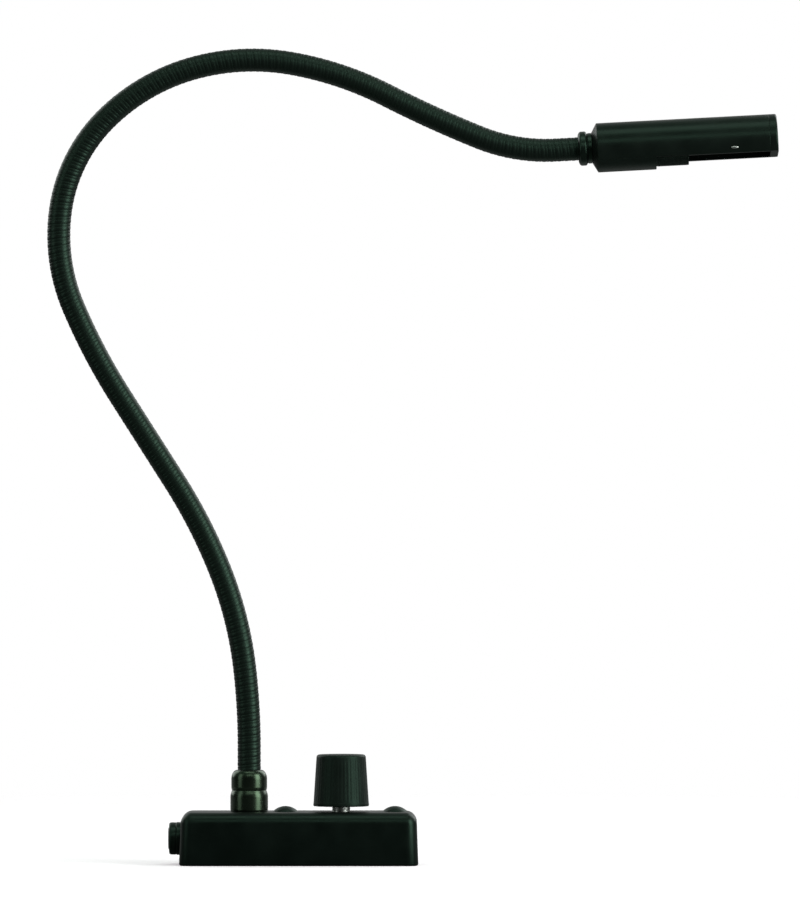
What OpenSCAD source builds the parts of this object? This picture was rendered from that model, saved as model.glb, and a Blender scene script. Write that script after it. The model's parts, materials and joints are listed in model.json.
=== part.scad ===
// Gooseneck lamp: a low box base with a dimmer, a wound flexible neck, and a round hood
// with a turning shutter. Millimetres, +Z up, origin under the middle of the base.

/* [Case] */
// Length of the case at its foot, along X
case_length = 90; // [82:0.5:110]
// Depth of the case at its foot, along Y
case_depth = 32; // [31:0.5:44]
// Height of the case
case_height = 20; // [17.5:0.25:24]
// How far each side leans in between foot and top
case_draft = 0.5; // [0:0.1:1.5]
// Radius of the upright and top edges
case_edge = 3; // [2.5:0.1:4.5]
// Chamfer round the foot
case_foot = 0.8; // [0.2:0.1:1]
// Thickness of the walls and of the top
case_wall = 2; // [1.6:0.1:2.4]
// Thickness of the steel plate that closes the case
plate_thickness = 3; // [2:0.25:3.5]
// Width of the ledge that the plate seats against
plate_ledge = 0.8; // [0.5:0.1:1]
// Distance of each tapped fixing hole in the plate from its end of the case
fixing_inset = 18; // [15:0.5:19]
// Bore of the fixing holes
fixing_bore = 3.3; // [2.5:0.1:4.2]

/* [Case screws] */
// Distance of the left case screw from the knob's axis
screw_offset = 21; // [19:0.25:21.5]
// Distance of the right case screw from the right end of the case
screw_inset = 8.8; // [7:0.1:10]
// Diameter of the dome head
screw_head_d = 9.6; // [7:0.1:10]
// Height of the dome head
screw_head_h = 2.1; // [1.8:0.1:3.5]
// Thread diameter
screw_d = 4; // [3:0.1:4.5]
// Width of the driver slot
screw_slot = 1.2; // [0.8:0.1:1.6]
// Wall round the screw in its boss and spacer
screw_boss_wall = 1.6; // [1.2:0.1:2]

/* [Dimmer circuit] */
// Height of the spacers between plate and board
spacer_height = 1.6; // [1:0.1:2.5]
// Thickness of the circuit board
board_thickness = 1.6; // [1:0.1:2]
// Diameter of the dimmer's body
dimmer_d = 16.8; // [14:0.2:17]
// Diameter of the bright bushing
dimmer_bushing_d = 6.8; // [6.6:0.1:8]
// Diameter of the shaft
shaft_d = 5.6; // [4:0.1:6]
// Depth of the flat on the shaft
shaft_flat = 0.8; // [0.4:0.1:1.2]
// Diameter of the filter capacitor
capacitor_d = 6.4; // [4:0.2:7]
// Height of the filter capacitor
capacitor_h = 8; // [5:0.5:9]

/* [Knob] */
// Place of the knob along X
knob_x = 15.9; // [14:0.1:17]
// Gap between the case and the knob
knob_gap = 2; // [1.5:0.1:5]
// Height of the knob
knob_height = 19.5; // [14:0.5:24]
// Diameter at the foot of the knob
knob_foot_d = 21; // [16:0.1:24]
// Diameter at the top of the knob
knob_top_d = 18.5; // [14:0.1:20]
// Radius of the knob's top edge
knob_edge = 1.2; // [0.4:0.1:2]

/* [Neck foot] */
// Distance of the neck from the middle of the case, towards the left
neck_offset = 18.8; // [18:0.1:21]
// Diameter of the lower tier
neck_bushing_d = 14.1; // [13.2:0.1:16]
// Height of the lower tier
neck_bushing_h = 8; // [6.5:0.1:10]
// Diameter of the upper tier
neck_ferrule_d = 13.5; // [12.8:0.1:15]
// Height of the upper tier
neck_ferrule_h = 7.7; // [7.4:0.1:14]
// Diameter of the waist between the tiers
neck_waist_d = 12.7; // [11.8:0.1:12.8]
// Thread diameter of the tail that passes through the case
neck_thread_d = 9.8; // [8:0.1:10]
// Width across the flats of the lock nut
neck_nut_flats = 14; // [12.5:0.5:15]
// Height of the lock nut
neck_nut_h = 4; // [3:0.1:4.5]
// Thickness of the lock washer
neck_washer_t = 0.8; // [0.5:0.1:1.2]

/* [Neck] */
// Outside diameter of the neck
neck_d = 8.6; // [7.5:0.1:9]
// Length of the neck between its two ferrules
neck_length = 457.2; // [300:0.1:600]
// Depth of the grooves between the turns
neck_groove = 0.4; // [0.2:0.05:0.7]
// Bore of the neck
neck_bore = 3.8; // [3.2:0.1:4.4]
// Turns of wire in each of the neck's sections
neck_turns = 14; // [8:1:16]
// Diameter of the lamp lead inside the neck
lead_d = 2.4; // [1.6:0.1:2.8]

/* [Hood] */
// Outside diameter of the hood
hood_d = 18.6; // [18.2:0.1:22]
// Wall of the hood's shell
hood_wall = 0.9; // [0.7:0.05:1.2]
// Distance from the hood's axis down to its flat cut
hood_cut = 5.5; // [4.8:0.1:6]
// Turn of the cut towards the front
hood_roll = 8; // [0:1:12]
// Diameter of the bead at the tip of the neck
bead_d = 12.7; // [11.6:0.1:14]
// Diameter of the collar behind the hood
collar_d = 11.2; // [10.6:0.1:12.5]
// Length of bead and collar
collar_length = 5; // [4.6:0.1:8]
// Length of the cone at the rear of the hood
rear_cone = 2; // [1.5:0.1:4]
// Length of the closed rear part of the hood
housing_length = 21.8; // [20:0.1:30]
// Length of the knurled ring on the shutter
ring_length = 12.1; // [8:0.1:18]
// Length of the open part of the hood, ring excepted
window_length = 30.9; // [28:0.1:45]
// Thickness of the end cap
cap_length = 3; // [2:0.1:5]
// Teeth round the knurled ring
ring_teeth = 60; // [36:2:72]
// Diameter of the stop pin
stop_pin_d = 1.5; // [1:0.1:1.8]

/* [Lamp] */
// Diameter of the lamp socket
socket_d = 11.8; // [10.8:0.1:12]
// Length of the lamp socket
socket_length = 17; // [15:0.5:18]
// Distance between the bulb's two pins
bulb_pin_gap = 5; // [4:0.1:6]
// Diameter of the bulb's pins
bulb_pin_d = 1; // [0.7:0.05:1.1]
// Diameter of the bulb's glass
bulb_d = 9.2; // [7.5:0.1:10]
// Length of the bulb's glass
bulb_length = 19; // [15:0.5:22]
// Wall of the bulb's glass
bulb_wall = 0.8; // [0.5:0.1:1.2]

/* [Power jack] */
// Height of the jack's axis
jack_z = 9.8; // [8.7:0.1:10.5]
// Diameter of the nut outside the case
jack_nut_d = 12.4; // [9:0.1:12.8]
// How far the nut stands out
jack_nut_h = 4.4; // [2.5:0.1:6]
// Rounding of the nut's outer edge
jack_nut_edge = 1.6; // [0.4:0.1:2]
// Diameter of the threaded barrel
jack_barrel_d = 8; // [7.5:0.1:8.4]
// Bore of the socket
jack_bore = 5.6; // [5:0.1:6]
// Diameter of the centre pin
jack_pin_d = 2.1; // [1.3:0.1:2.5]
// Diameter of the supply wires
wire_d = 1.4; // [1:0.1:1.6]

/* [Fits] */
// Radial clearance of turning and screwed pieces
running_fit = 0.06; // [0.03:0.01:0.1]
// Radial clearance of pieces that slip together
slip_fit = 0.1; // [0.05:0.01:0.15]
// Clearance between pieces that pass each other
pass_gap = 0.2; // [0.1:0.05:0.3]

/* [Hidden] */
$fn = 48;
bite = 0.02;
neck_sections = 12;
neck_sides = 8;
// Bend of each neck section in the rest pose, in degrees towards +X
neck_bends = [-6.5, -15, -11, 0, 9.5, 31.5, 36.5, 29, 26, 17, -5, -25];

// Heights in the base
inner_top = case_height - case_wall;
board_z = plate_thickness + spacer_height;
board_top = board_z + board_thickness;
board_mid = board_z + board_thickness / 2;
dimmer_top = inner_top - 3 * pass_gap;
knob_z = case_height + knob_gap;
knob_top_z = knob_z + knob_height;
knob_roof = 3.8;
tier_top = case_height + neck_bushing_h;
ferrule_top = tier_top + neck_ferrule_h;

// Room inside the case
room_length = case_length - 2 * case_wall;
room_depth = case_depth - 2 * case_wall;
room_edge = max(case_edge - case_wall, 1);
screw_places = [knob_x - screw_offset, case_length / 2 - screw_inset];
fixing_x = case_length / 2 - fixing_inset;
screw_boss_d = screw_d + 2 * (pass_gap + screw_boss_wall);

// Neck: sections, ball ends and cups
neck_r = neck_d / 2;
bore_r = neck_bore / 2;
section_length = neck_length / neck_sections;
turn_pitch = section_length / neck_turns;
groove_r = neck_r - neck_groove;
neck_x = -neck_offset;
neck_straight = neck_d;
neck_seat = 0.8 * neck_d;
tip_seat = 3;
ball_r = neck_r;
cup_r = ball_r * 1.12;
rim_r = neck_r - 0.15;
ball_end = acos(bore_r / ball_r);
cup_end = acos(bore_r / cup_r);
cup_rim = acos(rim_r / cup_r);
lead_r = lead_d / 2;
lead_before_ball = cup_r - pass_gap / 2;
lead_in_ball = ball_r * sin(ball_end);
lead_turn = 6;
board_left = neck_x + lead_turn + pass_gap;
board_right = case_length / 2 - case_wall - case_draft - 2 * pass_gap;
board_depth = room_depth - 2 * case_draft - 4 * pass_gap;

// Straight and curved spans of the neck: length and bend of each
neck_spans = concat(
    [[neck_straight, 0]],
    [for (i = [0:neck_sections - 1])
        [section_length - (i == 0 || i == neck_sections - 1 ? neck_straight : 0), neck_bends[i]]],
    [[neck_straight, 0]]
);

// Spigots, seats and the neck foot
spigot_d = neck_thread_d;
spigot_length = 4.6;
tail_z = inner_top - neck_washer_t - neck_nut_h - 3 * pass_gap;

// Stations along the hood's axis, from the end of the neck
journal_d = 2 * (bore_r + 2.1);
journal_end = 14.5;
clip_t = 0.9;
clip_z = 12.6;
hood_r = hood_d / 2;
shell_bore_r = hood_r - hood_wall;
cone_z = collar_length + pass_gap;
body_z = cone_z + rear_cone;
ring_z = body_z + housing_length + 1.5 * pass_gap;
window_z = ring_z + ring_length;
cap_z = window_z + window_length;
hood_end = cap_z + cap_length;
plug_length = 1.8;
sleeve_end = cap_z - plug_length - pass_gap;
sleeve_r = shell_bore_r - pass_gap;
sleeve_bore_r = sleeve_r - 0.85;
ring_r = shell_bore_r - 0.75 * pass_gap;
spigot_r = sleeve_bore_r - slip_fit;
spigot_reach = 4;
socket_z = journal_end + 1;
socket_end = socket_z + socket_length;
bulb_base_z = socket_end + pass_gap;
bulb_base_h = 4.6;
glass_z = bulb_base_z + bulb_base_h;
glass_r = bulb_d / 2;
stop_z = 58.8;
stop_angle = -65;
shutter_open = [-72, 71];

// Power jack
jack_face_x = -(case_length / 2 - 0.8 * case_draft);
jack_wall = case_wall + pass_gap;
jack_barrel_end = jack_nut_h + 0.3;
jack_depth = 11;
jack_rear = -jack_depth;
jack_tab_length = 3.5;
jack_tab_gap = 5;

// Points of an arc round [x, z], from angle a to angle b, in n steps
function arc(x, z, r, a, b, n) =
    [for (i = [0:n]) [x + r * cos(a + (b - a) * i / n), z + r * sin(a + (b - a) * i / n)]];

// Chord of an arc of the given length and bend
function chord(length, bend) =
    abs(bend) < 0.001 ? length : 2 * length * sin(bend / 2) / (bend * PI / 180);

// Point reached by an arc that sets out from [x, z, heading]
function arc_end(at, length, bend) = [
    at[0] + chord(length, bend) * sin(at[2] + bend / 2),
    at[1] + chord(length, bend) * cos(at[2] + bend / 2),
    at[2] + bend
];

// [x, z, heading] at the distance s along the neck; straight on beyond both ends
function neck_at(s, i = 0, at = [neck_x, ferrule_top, 0]) =
    s <= neck_spans[i][0] || i == len(neck_spans) - 1
    ? arc_end(at, s, neck_spans[i][1] * s / neck_spans[i][0])
    : neck_at(s - neck_spans[i][0], i + 1, arc_end(at, neck_spans[i][0], neck_spans[i][1]));

// [x, z, heading] a distance straight on from another place
function straight_on(at, d) = arc_end(at, d, 0);

// One ring of points: r round the place [x, z, heading]
function ring(at, r) = [for (i = [0:neck_sides - 1])
    let (a = 360 * i / neck_sides)
    [at[0] + r * cos(a) * cos(at[2]), r * sin(a), at[1] - r * cos(a) * sin(at[2])]];

// Triangles between neighbouring rings; the last ring joins the first where closed
function ring_faces(count, sides, closed) = [
    for (j = [0:count - (closed ? 1 : 2)], i = [0:sides - 1], half = [0, 1])
        let (a = j * sides + i,
             b = j * sides + (i + 1) % sides,
             c = ((j + 1) % count) * sides + (i + 1) % sides,
             d = ((j + 1) % count) * sides + i)
        half == 0 ? [a, c, b] : [a, d, c]
];

// Fan triangles that close the first and last ring of a solid tube
function cap_faces(count, sides) = concat(
    [for (i = [1:sides - 2]) [0, i, i + 1]],
    [for (i = [1:sides - 2]) [(count - 1) * sides, (count - 1) * sides + i + 1, (count - 1) * sides + i]]
);

// A closed band of rings, such as a hollow tube whose bore is part of the round trip
module closed_band(rings) {
    points = [for (r = rings) each r];
    polyhedron(points, ring_faces(len(rings), neck_sides, true));
}

// A solid tube through rings of points
module solid_tube(rings) {
    points = [for (r = rings) each r];
    sides = len(rings[0]);
    polyhedron(points, concat(ring_faces(len(rings), sides, false), cap_faces(len(rings), sides)));
}

// Block with leaning sides, round edges and a chamfered foot
module drafted_block(length, depth, height, lean, edge, foot) {
    crown = 0.05;
    hull()
        for (sx = [-1, 1], sy = [-1, 1]) {
            low = [sx * (length / 2 - edge), sy * (depth / 2 - edge)];
            high = [sx * (length / 2 - lean - edge), sy * (depth / 2 - lean - edge)];
            translate([low[0], low[1], 0]) cylinder(r = edge - foot, h = crown, $fn = 32);
            translate([low[0], low[1], foot]) cylinder(r = edge, h = crown, $fn = 32);
            translate([high[0], high[1], height - edge]) sphere(r = edge, $fn = 32);
            translate([high[0], high[1], height - crown]) cylinder(r = edge / 8, h = crown, $fn = 32);
        }
}

// Flat slab with round corners
module slab(length, depth, edge, thickness) {
    translate([-length / 2 + edge, -depth / 2, 0]) cube([length - 2 * edge, depth, thickness]);
    translate([-length / 2, -depth / 2 + edge, 0]) cube([length, depth - 2 * edge, thickness]);
    for (sx = [-1, 1], sy = [-1, 1])
        translate([sx * (length / 2 - edge), sy * (depth / 2 - edge), 0])
            cylinder(r = edge, h = thickness);
}

// Children at both case screws
module at_screws() {
    for (x = screw_places)
        translate([x, 0, 0]) children();
}

// Children with their +Z out of the left end of the case, on the jack's axis
module at_jack() {
    translate([jack_face_x, 0, jack_z]) rotate([0, -90, 0]) children();
}

// Children with their +Z along the hood's axis and +X out of its flat cut
module at_hood() {
    tip = neck_at(neck_length);
    translate([tip[0], 0, tip[1]]) rotate([0, tip[2], 0]) rotate([0, 0, -hood_roll]) children();
}

// Half space on the cut side of the hood, from the given distance outwards
module hood_cutter(distance) {
    translate([distance, -hood_d, -hood_d]) cube([hood_d, 2 * hood_d, hood_end + 2 * hood_d]);
}

module base_case() {
    color([0.06, 0.07, 0.065]) difference() {
        union() {
            difference() {
                drafted_block(case_length, case_depth, case_height, case_draft, case_edge, case_foot);
                translate([0, 0, -1])
                    drafted_block(room_length, room_depth, inner_top + 1, case_draft, room_edge, 0);
            }
            at_screws() translate([0, 0, board_top])
                cylinder(d = screw_boss_d, h = inner_top - board_top + case_wall / 2);
        }
        translate([0, 0, -1])
            slab(room_length + 2 * plate_ledge, room_depth + 2 * plate_ledge, case_edge - case_wall / 2,
                 plate_thickness + 1);
        at_screws() cylinder(d = screw_d + 2 * pass_gap, h = case_height + 1);
        translate([neck_x, 0, inner_top - 1])
            cylinder(d = neck_thread_d + 2 * slip_fit, h = case_wall + 2);
        translate([knob_x, 0, inner_top - 1])
            cylinder(d = dimmer_bushing_d + 2 * pass_gap, h = case_wall + 2);
        at_jack() translate([0, 0, -2 * case_wall])
            cylinder(d = jack_barrel_d + 2 * slip_fit, h = 4 * case_wall);
        at_jack() cylinder(d = jack_nut_d + 4 * pass_gap, h = 2 * case_wall);
    }
}

module base_plate() {
    color([0.1, 0.1, 0.1]) difference() {
        slab(room_length + 2 * (plate_ledge - slip_fit), room_depth + 2 * (plate_ledge - slip_fit),
             case_edge - case_wall / 2, plate_thickness);
        at_screws() translate([0, 0, -1]) cylinder(d = screw_d + 2 * running_fit, h = plate_thickness + 2);
        for (side = [-1, 1])
            translate([side * fixing_x, 0, -1]) cylinder(d = fixing_bore, h = plate_thickness + 2);
    }
}

module case_screws() {
    dome_r = (pow(screw_head_d / 2, 2) + pow(screw_head_h, 2)) / (2 * screw_head_h);
    color([0.08, 0.08, 0.08]) at_screws() {
        difference() {
            intersection() {
                translate([0, 0, case_height + screw_head_h - dome_r]) sphere(r = dome_r);
                translate([0, 0, case_height]) cylinder(d = screw_head_d, h = screw_head_h + 1);
            }
            translate([-screw_head_d / 2, -screw_slot / 2, case_height + screw_head_h / 2])
                cube([screw_head_d, screw_slot, screw_head_h]);
        }
        translate([0, 0, plate_thickness / 4])
            cylinder(d = screw_d, h = case_height - plate_thickness / 4 + bite);
    }
}

module board_spacers() {
    color("silver") at_screws() translate([0, 0, plate_thickness]) difference() {
        cylinder(d = screw_boss_d, h = spacer_height);
        translate([0, 0, -1]) cylinder(d = screw_d + 2 * pass_gap, h = spacer_height + 2);
    }
}

module circuit_board() {
    fixing_access = fixing_bore + 2;
    color("darkgreen") translate([0, 0, board_z]) difference() {
        translate([board_left, -board_depth / 2, 0])
            cube([board_right - board_left, board_depth, board_thickness]);
        at_screws() translate([0, 0, -1]) cylinder(d = screw_d + 2 * pass_gap, h = board_thickness + 2);
        translate([fixing_x, 0, -1]) cylinder(d = fixing_access, h = board_thickness + 2);
    }
}

module power_transistor() {
    width = 9;
    thick = 4;
    height = 7;
    color([0.1, 0.1, 0.1])
        translate([knob_x + dimmer_d / 2 + pass_gap, -board_depth / 2 + pass_gap, board_top])
            cube([width, thick, height]);
}

module filter_capacitor() {
    color("steelblue")
        translate([knob_x + dimmer_d / 2 + capacitor_d / 2, board_depth / 2 - capacitor_d / 2, board_top])
            cylinder(d = capacitor_d, h = capacitor_h);
}

module dimmer_body() {
    color([0.25, 0.25, 0.24]) translate([knob_x, 0, 0]) difference() {
        translate([0, 0, board_top]) cylinder(d = dimmer_d, h = dimmer_top - board_top);
        translate([0, 0, board_top + 1.5]) cylinder(d = shaft_d + 2 * pass_gap, h = dimmer_top);
    }
}

module dimmer_bushing() {
    color([0.8, 0.82, 0.8]) translate([knob_x, 0, dimmer_top]) difference() {
        cylinder(d = dimmer_bushing_d, h = knob_z + 1.6 - dimmer_top);
        translate([0, 0, -1]) cylinder(d = shaft_d + 2 * running_fit, h = knob_top_z - dimmer_top);
    }
}

// Shaft with its flat; grow makes the matching hole in the knob
module shaft_form(z, height, grow) {
    flat_z = knob_z + 3;
    difference() {
        translate([0, 0, z]) cylinder(d = shaft_d + 2 * grow, h = height);
        translate([shaft_d / 2 - shaft_flat + grow, -shaft_d, flat_z])
            cube([shaft_d, 2 * shaft_d, knob_height]);
    }
}

module dimmer_shaft() {
    bottom = board_top + 1.5 + pass_gap;
    color([0.8, 0.82, 0.8]) translate([knob_x, 0, 0])
        shaft_form(bottom, knob_top_z - knob_roof - pass_gap - bottom, 0);
}

module dimmer_knob() {
    foot_r = knob_foot_d / 2;
    top_r = knob_top_d / 2;
    dish = 0.5;
    outline = concat(
        [[0, 0], [foot_r - 0.4, 0], [foot_r, 0.4], [foot_r, 1.2]],
        arc(top_r - knob_edge, knob_height - knob_edge, knob_edge, 5, 90, 6),
        [[top_r - 2.2 * knob_edge, knob_height], [0, knob_height - dish]]
    );
    color([0.08, 0.095, 0.085]) translate([knob_x, 0, 0]) difference() {
        translate([0, 0, knob_z]) rotate_extrude($fn = 96) polygon(outline);
        shaft_form(knob_z - 1, knob_height - knob_roof + 1, slip_fit / 2);
        translate([0, 0, knob_z - 1]) cylinder(d = dimmer_bushing_d + 4 * pass_gap, h = 3.2);
    }
}

module neck_bushing() {
    r = neck_bushing_d / 2;
    thread_r = neck_thread_d / 2;
    socket_r = spigot_d / 2 + slip_fit;
    outline = [
        [bore_r, tail_z], [thread_r, tail_z], [thread_r, case_height], [r - 0.3, case_height],
        [r, case_height + 0.4], [r, tier_top - 1], [neck_waist_d / 2, tier_top],
        [socket_r, tier_top], [socket_r, tier_top - spigot_length], [bore_r, tier_top - spigot_length]
    ];
    color([0.05, 0.05, 0.05]) translate([neck_x, 0, 0]) rotate_extrude() polygon(outline);
}

module neck_washer() {
    color("silver") translate([neck_x, 0, inner_top - neck_washer_t]) difference() {
        cylinder(d = neck_nut_flats + 1, h = neck_washer_t);
        translate([0, 0, -1]) cylinder(d = neck_thread_d + 2 * slip_fit, h = neck_washer_t + 2);
    }
}

module neck_nut() {
    color("silver") translate([neck_x, 0, inner_top - neck_washer_t - neck_nut_h]) difference() {
        cylinder(d = neck_nut_flats / cos(30), h = neck_nut_h, $fn = 6);
        translate([0, 0, -1]) cylinder(d = neck_thread_d + 2 * running_fit, h = neck_nut_h + 2);
    }
}

module neck_ferrule() {
    r = neck_ferrule_d / 2;
    mouth_r = neck_r + slip_fit;
    shoulder = r - mouth_r - 0.4;
    groove_z = ferrule_top - shoulder - 1;
    outline = concat(
        [[bore_r, tier_top - spigot_length + pass_gap], [spigot_d / 2, tier_top - spigot_length + pass_gap],
         [spigot_d / 2, tier_top], [neck_waist_d / 2, tier_top], [r, tier_top + 1.2],
         [r, groove_z - 0.3], [r - 0.2, groove_z], [r, groove_z + 0.3]],
        arc(r - shoulder, ferrule_top - shoulder, shoulder, 0, 90, 8),
        [[mouth_r, ferrule_top], [mouth_r, ferrule_top - neck_seat], [bore_r, ferrule_top - neck_seat]]
    );
    color([0.05, 0.05, 0.05]) translate([neck_x, 0, 0]) rotate_extrude() polygon(outline);
}

module jack_body() {
    flange_t = 2;
    pin_floor = 1;
    bore_floor = 4;
    color([0.1, 0.1, 0.1]) at_jack() difference() {
        union() {
            translate([0, 0, -jack_wall - bite]) cylinder(d = jack_barrel_d, h = jack_wall + jack_barrel_end + bite);
            translate([0, 0, -jack_wall - flange_t]) cylinder(d = jack_barrel_d + 2.4, h = flange_t);
            translate([0, 0, jack_rear]) cylinder(d = jack_barrel_d + 1, h = -jack_rear - jack_wall - 1);
        }
        translate([0, 0, jack_rear + bore_floor]) cylinder(d = jack_bore, h = jack_barrel_end - jack_rear);
        translate([0, 0, jack_rear + pin_floor]) cylinder(d = jack_pin_d + 2 * running_fit, h = bore_floor);
    }
}

module jack_nut() {
    r = jack_nut_d / 2;
    hole_r = jack_barrel_d / 2 + running_fit;
    outline = concat(
        [[hole_r, 0], [r, 0]],
        arc(r - jack_nut_edge, jack_nut_h - jack_nut_edge, jack_nut_edge, 0, 90, 8),
        [[hole_r, jack_nut_h]]
    );
    color([0.08, 0.08, 0.08]) at_jack() rotate_extrude() polygon(outline);
}

module jack_pin() {
    color("silver") at_jack() translate([0, 0, jack_rear + 1 + pass_gap])
        cylinder(d = jack_pin_d, h = jack_barrel_end - jack_rear - 2.2);
}

module jack_tabs() {
    tab_w = 1.8;
    tab_t = 0.5;
    color("silver") at_jack()
        for (side = [-1, 1])
            translate([-tab_w / 2, side * jack_tab_gap / 2 - tab_t / 2, jack_rear - jack_tab_length])
                cube([tab_w, tab_t, jack_tab_length]);
}

// Two wires from the jack's tabs, beside the neck's tail, down to the board
module supply_wires() {
    tab_x = jack_face_x - jack_rear + jack_tab_length;
    side_y = board_depth / 2 - 3;
    pad_x = board_left + 2;
    lift = jack_z - board_top;
    route = [
        [tab_x, jack_tab_gap / 2, jack_z], [tab_x + 2, jack_tab_gap / 2, jack_z],
        [neck_x - 4, side_y - 1, board_top + 0.8 * lift], [neck_x + 2, side_y, board_top + 0.7 * lift],
        [pad_x - 1.6, side_y, board_top + 0.6 * lift], [pad_x - 0.5, side_y, board_top + 0.45 * lift],
        [pad_x, side_y, board_top + 0.2 * lift], [pad_x, side_y, board_top]
    ];
    last = len(route) - 1;
    color("firebrick")
        for (side = [-1, 1]) {
            path = [for (p = route) [p[0], side * p[1], p[2]]];
            solid_tube([for (i = [0:last])
                let (ahead = path[min(i + 1, last)] - path[max(i - 1, 0)],
                     t = ahead / norm(ahead),
                     across = [0, 1, 0] - t[1] * t,
                     e = across / norm(across),
                     f = cross(t, e))
                [for (j = [0:neck_sides - 1])
                    path[i] - wire_d / 2 * (cos(360 * j / neck_sides) * f - sin(360 * j / neck_sides) * e)]]);
        }
}

// One section of the neck: turns outside, a bore inside, a ball ahead and a cup behind.
// The first section starts, and the last one ends, as a plain tail in its ferrule.
module neck_section(k) {
    first = k == 1;
    final = k == neck_sections;
    start = (k - 1) * section_length;
    end = k * section_length;
    behind = neck_at(start);
    ahead = neck_at(end);
    tail_r = neck_r - neck_groove / 2;
    turns = [for (i = [first ? 0 : 1:neck_turns - 1], half = [0, 1])
        if (i > 0 || half == 1)
            ring(neck_at(start + (i + half / 2) * turn_pitch), half == 0 ? neck_r : groove_r)];
    rear = first
        ? [ring(neck_at(start - neck_seat + bite), tail_r), ring(behind, tail_r)]
        : [ring(straight_on(behind, cup_r * sin(cup_rim)), rim_r)];
    front = final
        ? [ring(ahead, tail_r), ring(straight_on(ahead, tip_seat), tail_r),
           ring(straight_on(ahead, tip_seat), bore_r)]
        : concat([ring(ahead, neck_r)],
                 [for (i = [1:3]) ring(straight_on(ahead, ball_r * sin(ball_end * i / 3)),
                                       ball_r * cos(ball_end * i / 3))]);
    bore = [for (i = [3:-1:1]) ring(neck_at(start + (i + 0.2) * section_length / 4), bore_r)];
    cup = first
        ? [ring(neck_at(start - neck_seat + bite), bore_r)]
        : [for (i = [0:2])
            let (a = cup_end + (cup_rim - cup_end) * i / 3)
            ring(straight_on(behind, cup_r * sin(a)), cup_r * cos(a))];
    color([0.05, 0.055, 0.05]) closed_band(concat(rear, turns, front, bore, cup));
}

// One section of the lamp lead; the first one starts at the board, the last in the hood's journal
module lamp_lead(k) {
    first = k == 1;
    final = k == neck_sections;
    start = (k - 1) * section_length;
    end = k * section_length;
    rear = first
        ? concat(
            [[board_left, board_mid, -90]],
            [for (a = [22.5:22.5:90])
                [neck_x + lead_turn * (1 - sin(a)), board_mid + lead_turn * (1 - cos(a)), a - 90]],
            [neck_at(0)])
        : [straight_on(neck_at(start), lead_before_ball)];
    middle = [for (i = [1:3]) neck_at(start + i * section_length / 4)];
    front = final
        ? [straight_on(neck_at(end), journal_end - pass_gap)]
        : [straight_on(neck_at(end), lead_in_ball)];
    color([0.15, 0.15, 0.15])
        solid_tube([for (at = concat(rear, middle, front)) ring(at, lead_r)]);
}

module hood_ferrule() {
    bead_r = bead_d / 2;
    collar_r = collar_d / 2;
    curl_r = 1.8;
    curl_z = curl_r;
    curl_start = -75;
    curl_end = 35;
    mouth_r = neck_r + slip_fit;
    journal_r = journal_d / 2;
    outline = concat(
        [[mouth_r, 0]],
        arc(bead_r - curl_r, curl_z, curl_r, curl_start, curl_end, 10),
        [[collar_r, collar_length - 1.2], [collar_r, collar_length], [journal_r, collar_length],
         [journal_r, clip_z], [journal_r - 0.8, clip_z], [journal_r - 0.8, clip_z + clip_t + 0.1],
         [journal_r, clip_z + clip_t + 0.1], [journal_r, journal_end], [bore_r, journal_end],
         [bore_r, tip_seat + bite], [mouth_r, tip_seat + bite]]
    );
    color([0.05, 0.05, 0.05]) at_hood() rotate_extrude() polygon(outline);
}

module swivel_clip() {
    inner_r = journal_d / 2 - 0.8 + 0.05;
    outer_r = journal_d / 2 + 1.2;
    color("silver") at_hood() translate([0, 0, clip_z + 0.05]) difference() {
        cylinder(r = outer_r, h = clip_t);
        translate([0, 0, -1]) cylinder(r = inner_r, h = clip_t + 2);
        translate([0, -1.6, -1]) cube([outer_r + 1, 3.2, clip_t + 2]);
    }
}

module socket_housing() {
    spigot_z = ring_z + spigot_reach;
    bore_end = clip_z - pass_gap;
    color([0.06, 0.075, 0.065]) at_hood() difference() {
        union() {
            translate([0, 0, cone_z]) cylinder(r1 = collar_d / 2, r2 = hood_r, h = rear_cone);
            translate([0, 0, body_z - bite]) cylinder(r = shell_bore_r - slip_fit, h = housing_length + bite);
            intersection() {
                translate([0, 0, body_z - bite]) cylinder(r = hood_r, h = housing_length + bite);
                hood_cutter(hood_cut + slip_fit);
            }
            translate([0, 0, body_z]) cylinder(r = spigot_r, h = spigot_z - body_z);
        }
        translate([0, 0, cone_z - 1]) cylinder(d = journal_d + 2 * running_fit, h = hood_end);
        translate([0, 0, bore_end]) cylinder(d = socket_d + 2 * running_fit, h = hood_end);
    }
}

module hood_shell() {
    color([0.07, 0.085, 0.075]) at_hood() difference() {
        translate([0, 0, body_z]) cylinder(r = hood_r, h = cap_z - body_z);
        translate([0, 0, body_z - 1]) cylinder(r = shell_bore_r, h = cap_z - body_z + 2);
        hood_cutter(hood_cut);
        rotate([0, 0, stop_angle]) translate([0, 0, stop_z]) rotate([0, 90, 0])
            cylinder(d = stop_pin_d + 2 * running_fit, h = hood_d);
    }
}

module hood_end_cap() {
    edge = 0.8;
    outline = concat(
        [[0, cap_z - plug_length - spigot_reach + 1], [spigot_r, cap_z - plug_length - spigot_reach + 1],
         [spigot_r, cap_z - plug_length], [shell_bore_r - slip_fit, cap_z - plug_length],
         [shell_bore_r - slip_fit, cap_z], [hood_r, cap_z]],
        arc(hood_r - edge, hood_end - edge, edge, 0, 90, 5),
        [[0, hood_end]]
    );
    color([0.06, 0.08, 0.07]) at_hood() difference() {
        rotate_extrude() polygon(outline);
        hood_cutter(hood_cut);
    }
}

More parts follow.
